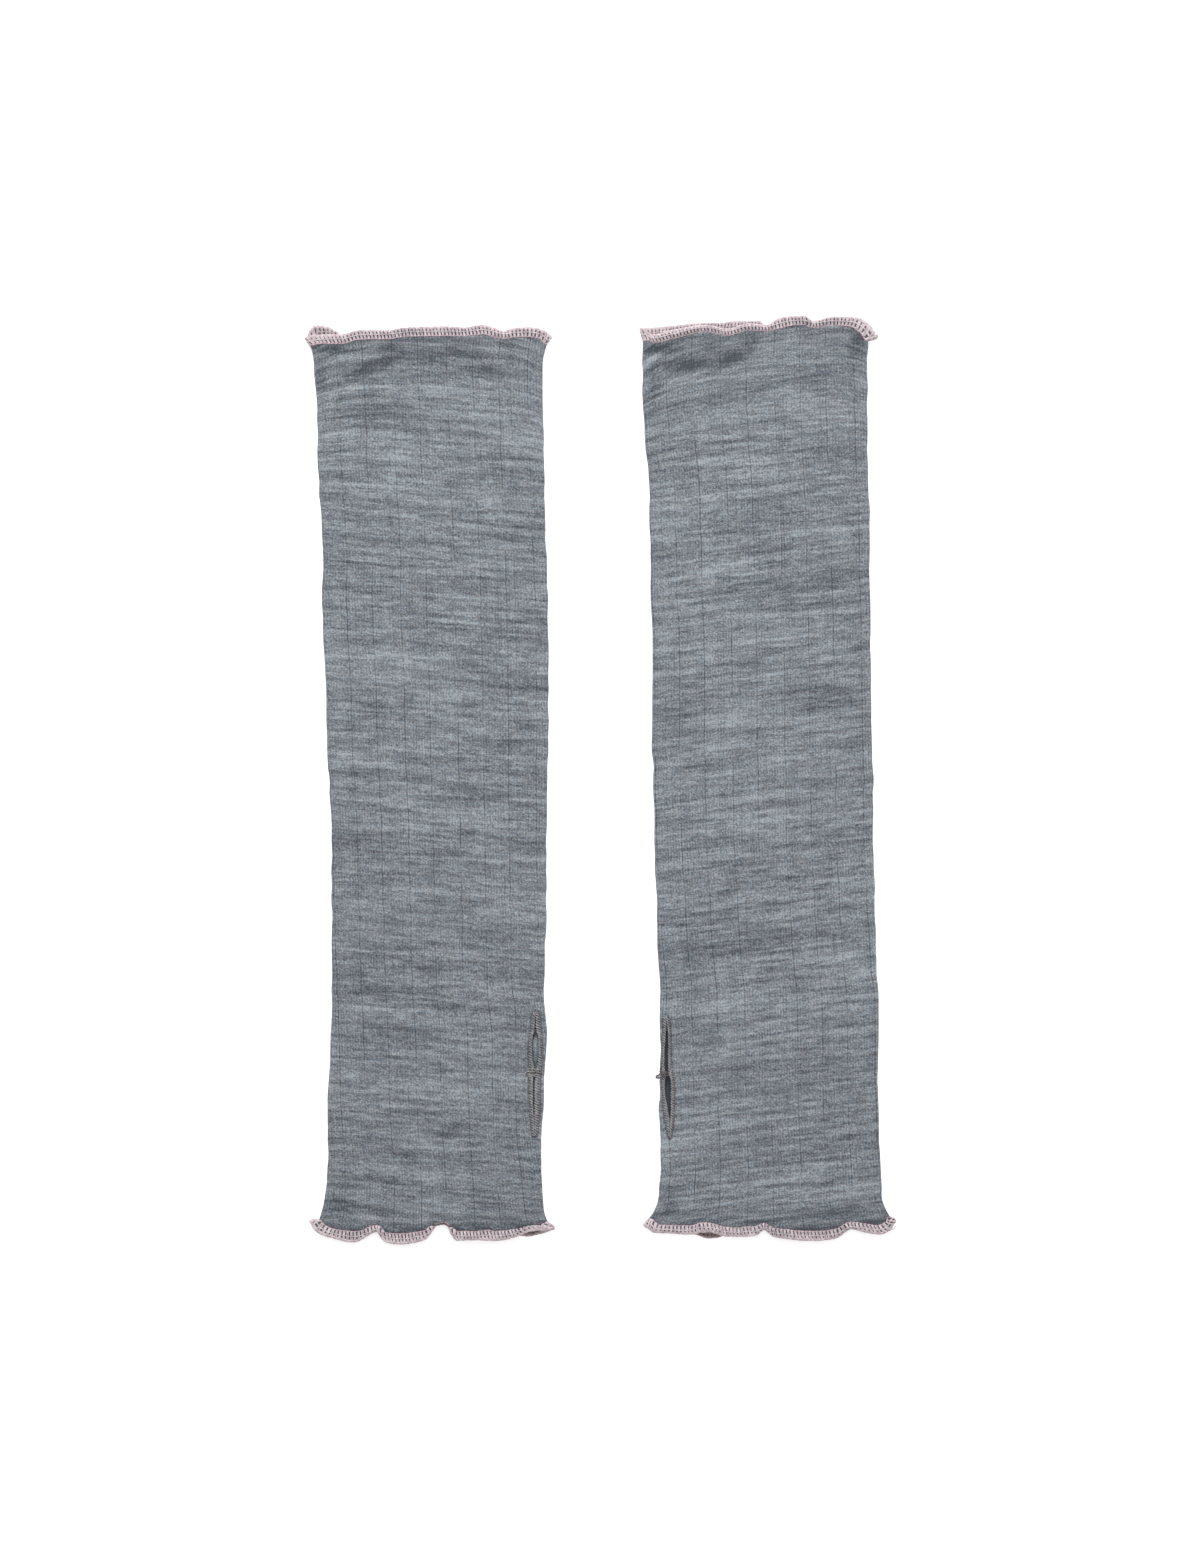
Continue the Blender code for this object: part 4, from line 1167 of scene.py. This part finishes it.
# One of the pair. slant: how its rows of knitting lean, in degrees. gloom: how dark its lining
# is drawn, a painted shade, lighter below 0. The right slit gapes over a deep fold.
Warmer = namedtuple("Warmer", "tube stitched knots slant gloom")
LEFT = Warmer(
    Tube(LEFT_FOLDS, LEFT_HAND, LEFT_ARM, LEFT_TWIST, LEFT_CREASES, LEFT_OPENING, 70, 11),
    LEFT_STITCHED, LEFT_KNOTS, slant=4.0, gloom=-0.3,
)
RIGHT = Warmer(
    Tube(RIGHT_FOLDS, RIGHT_HAND, RIGHT_ARM, RIGHT_TWIST, RIGHT_CREASES, RIGHT_OPENING, -2, 23),
    RIGHT_STITCHED, RIGHT_KNOTS, slant=-6.0, gloom=1.5,
)

FLOOR_HALF = 4000.0
VIEW_LENGTH = 0.624  # how much the camera sees along Y, in metres
VIEW_LEVEL = 3 * MM  # height at which it sees that much
LENS, SENSOR = 100, 36


def make_floor():
    corners = [(x * FLOOR_HALF, y * FLOOR_HALF, 0) for x, y in ((-1, -1), (1, -1), (1, 1), (-1, 1))]
    floor = make_mesh("floor", corners, [(0, 1, 2, 3)], light_table())


def add_soft_light(name, place, size, watts):
    """A square soft box that looks at the middle of the pair."""
    data = bpy.data.lights.new(name, "AREA")
    data.shape = "SQUARE"
    data.size = size
    data.energy = watts
    light = put_in_scene(name, data)
    light.location = place
    light.rotation_euler = (-Vector(place)).to_track_quat("-Z", "Y").to_euler()


def set_up_studio():
    scene = bpy.context.scene
    scene.view_settings.view_transform = "Standard"
    world = bpy.data.worlds.new("studio")
    world.use_nodes = True
    background = world.node_tree.nodes["Background"]
    background.inputs["Color"].default_value = (1.0, 1.0, 1.0, 1.0)
    background.inputs["Strength"].default_value = 0.5
    scene.world = world
    add_soft_light("arm_side_soft_box", (0.0, 1.25, 1.35), 1.2, 31.5)
    add_soft_light("overhead_soft_box", (0.0, 0.2, 2.6), 2.0, 14)
    camera_data = bpy.data.cameras.new("camera")
    camera_data.lens = LENS
    camera_data.sensor_width = SENSOR
    scene.camera = put_in_scene("camera", camera_data)
    scene.camera.location = (0.0, 0.0, VIEW_LENGTH * LENS / SENSOR + VIEW_LEVEL)


def main():
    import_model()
    set_up_studio()
    make_floor()
    wool = rib_knitted_wool()
    threads = [
        textured_thread("pale_pink_textured_looper_thread", "#AEA0A5", "#CDC0C3"),
        textured_thread("pink_textured_needle_thread", "#B0939B", "#C7ADB3"),
        # A darker copy of the pale looper thread: painted shade for the mouths of the hand ends.
        textured_thread("pale_pink_looper_thread_painted_shade", "#8C7876", "#AF9796"),
    ]
    slit_threads = [
        textured_thread("taupe_spun_thread", "#7E7B7C", "#A09B9B"),
        textured_thread("dark_brown_spun_thread", "#4A4246", "#625A5E"),
    ]
    for name, warmer in {"left": LEFT, "right": RIGHT}.items():
        tube, slant = warmer.tube, warmer.slant
        lip = Lip(tube, warmer.stitched)
        body = make_body(name + "_knit", tube, lip, slant, warmer.gloom, wool)
        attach(body, "root")
        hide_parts(name + "_body")
        paths = slit_paths(lip, warmer.knots, tube.seed)
        edging = [
            make_lip(name + "_thumb_lip", lip, slant, wool),
            make_threads(name + "_thumb_stitches", paths, SLIT_THREAD_RADIUS, slit_threads),
        ]
        for piece in edging:
            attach(piece, "root")
            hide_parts(name + "_thumb_binding")
        for end in (tube.hand, tube.arm):
            title = name + "_" + end.name
            paths = overlock_paths(tube, end, tube.seed + end.outward)
            for tail in LOOSE_ENDS.get(title, []):
                paths.append(Strand(through_keys(tail, 4, False), LOOSE_END_SHARE, False, 0))
            hem = make_threads(title + "_overlock", paths, THREAD_RADIUS, threads)
            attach(hem, "root")
            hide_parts(title + "_hem")
            edging.append(hem)


main()
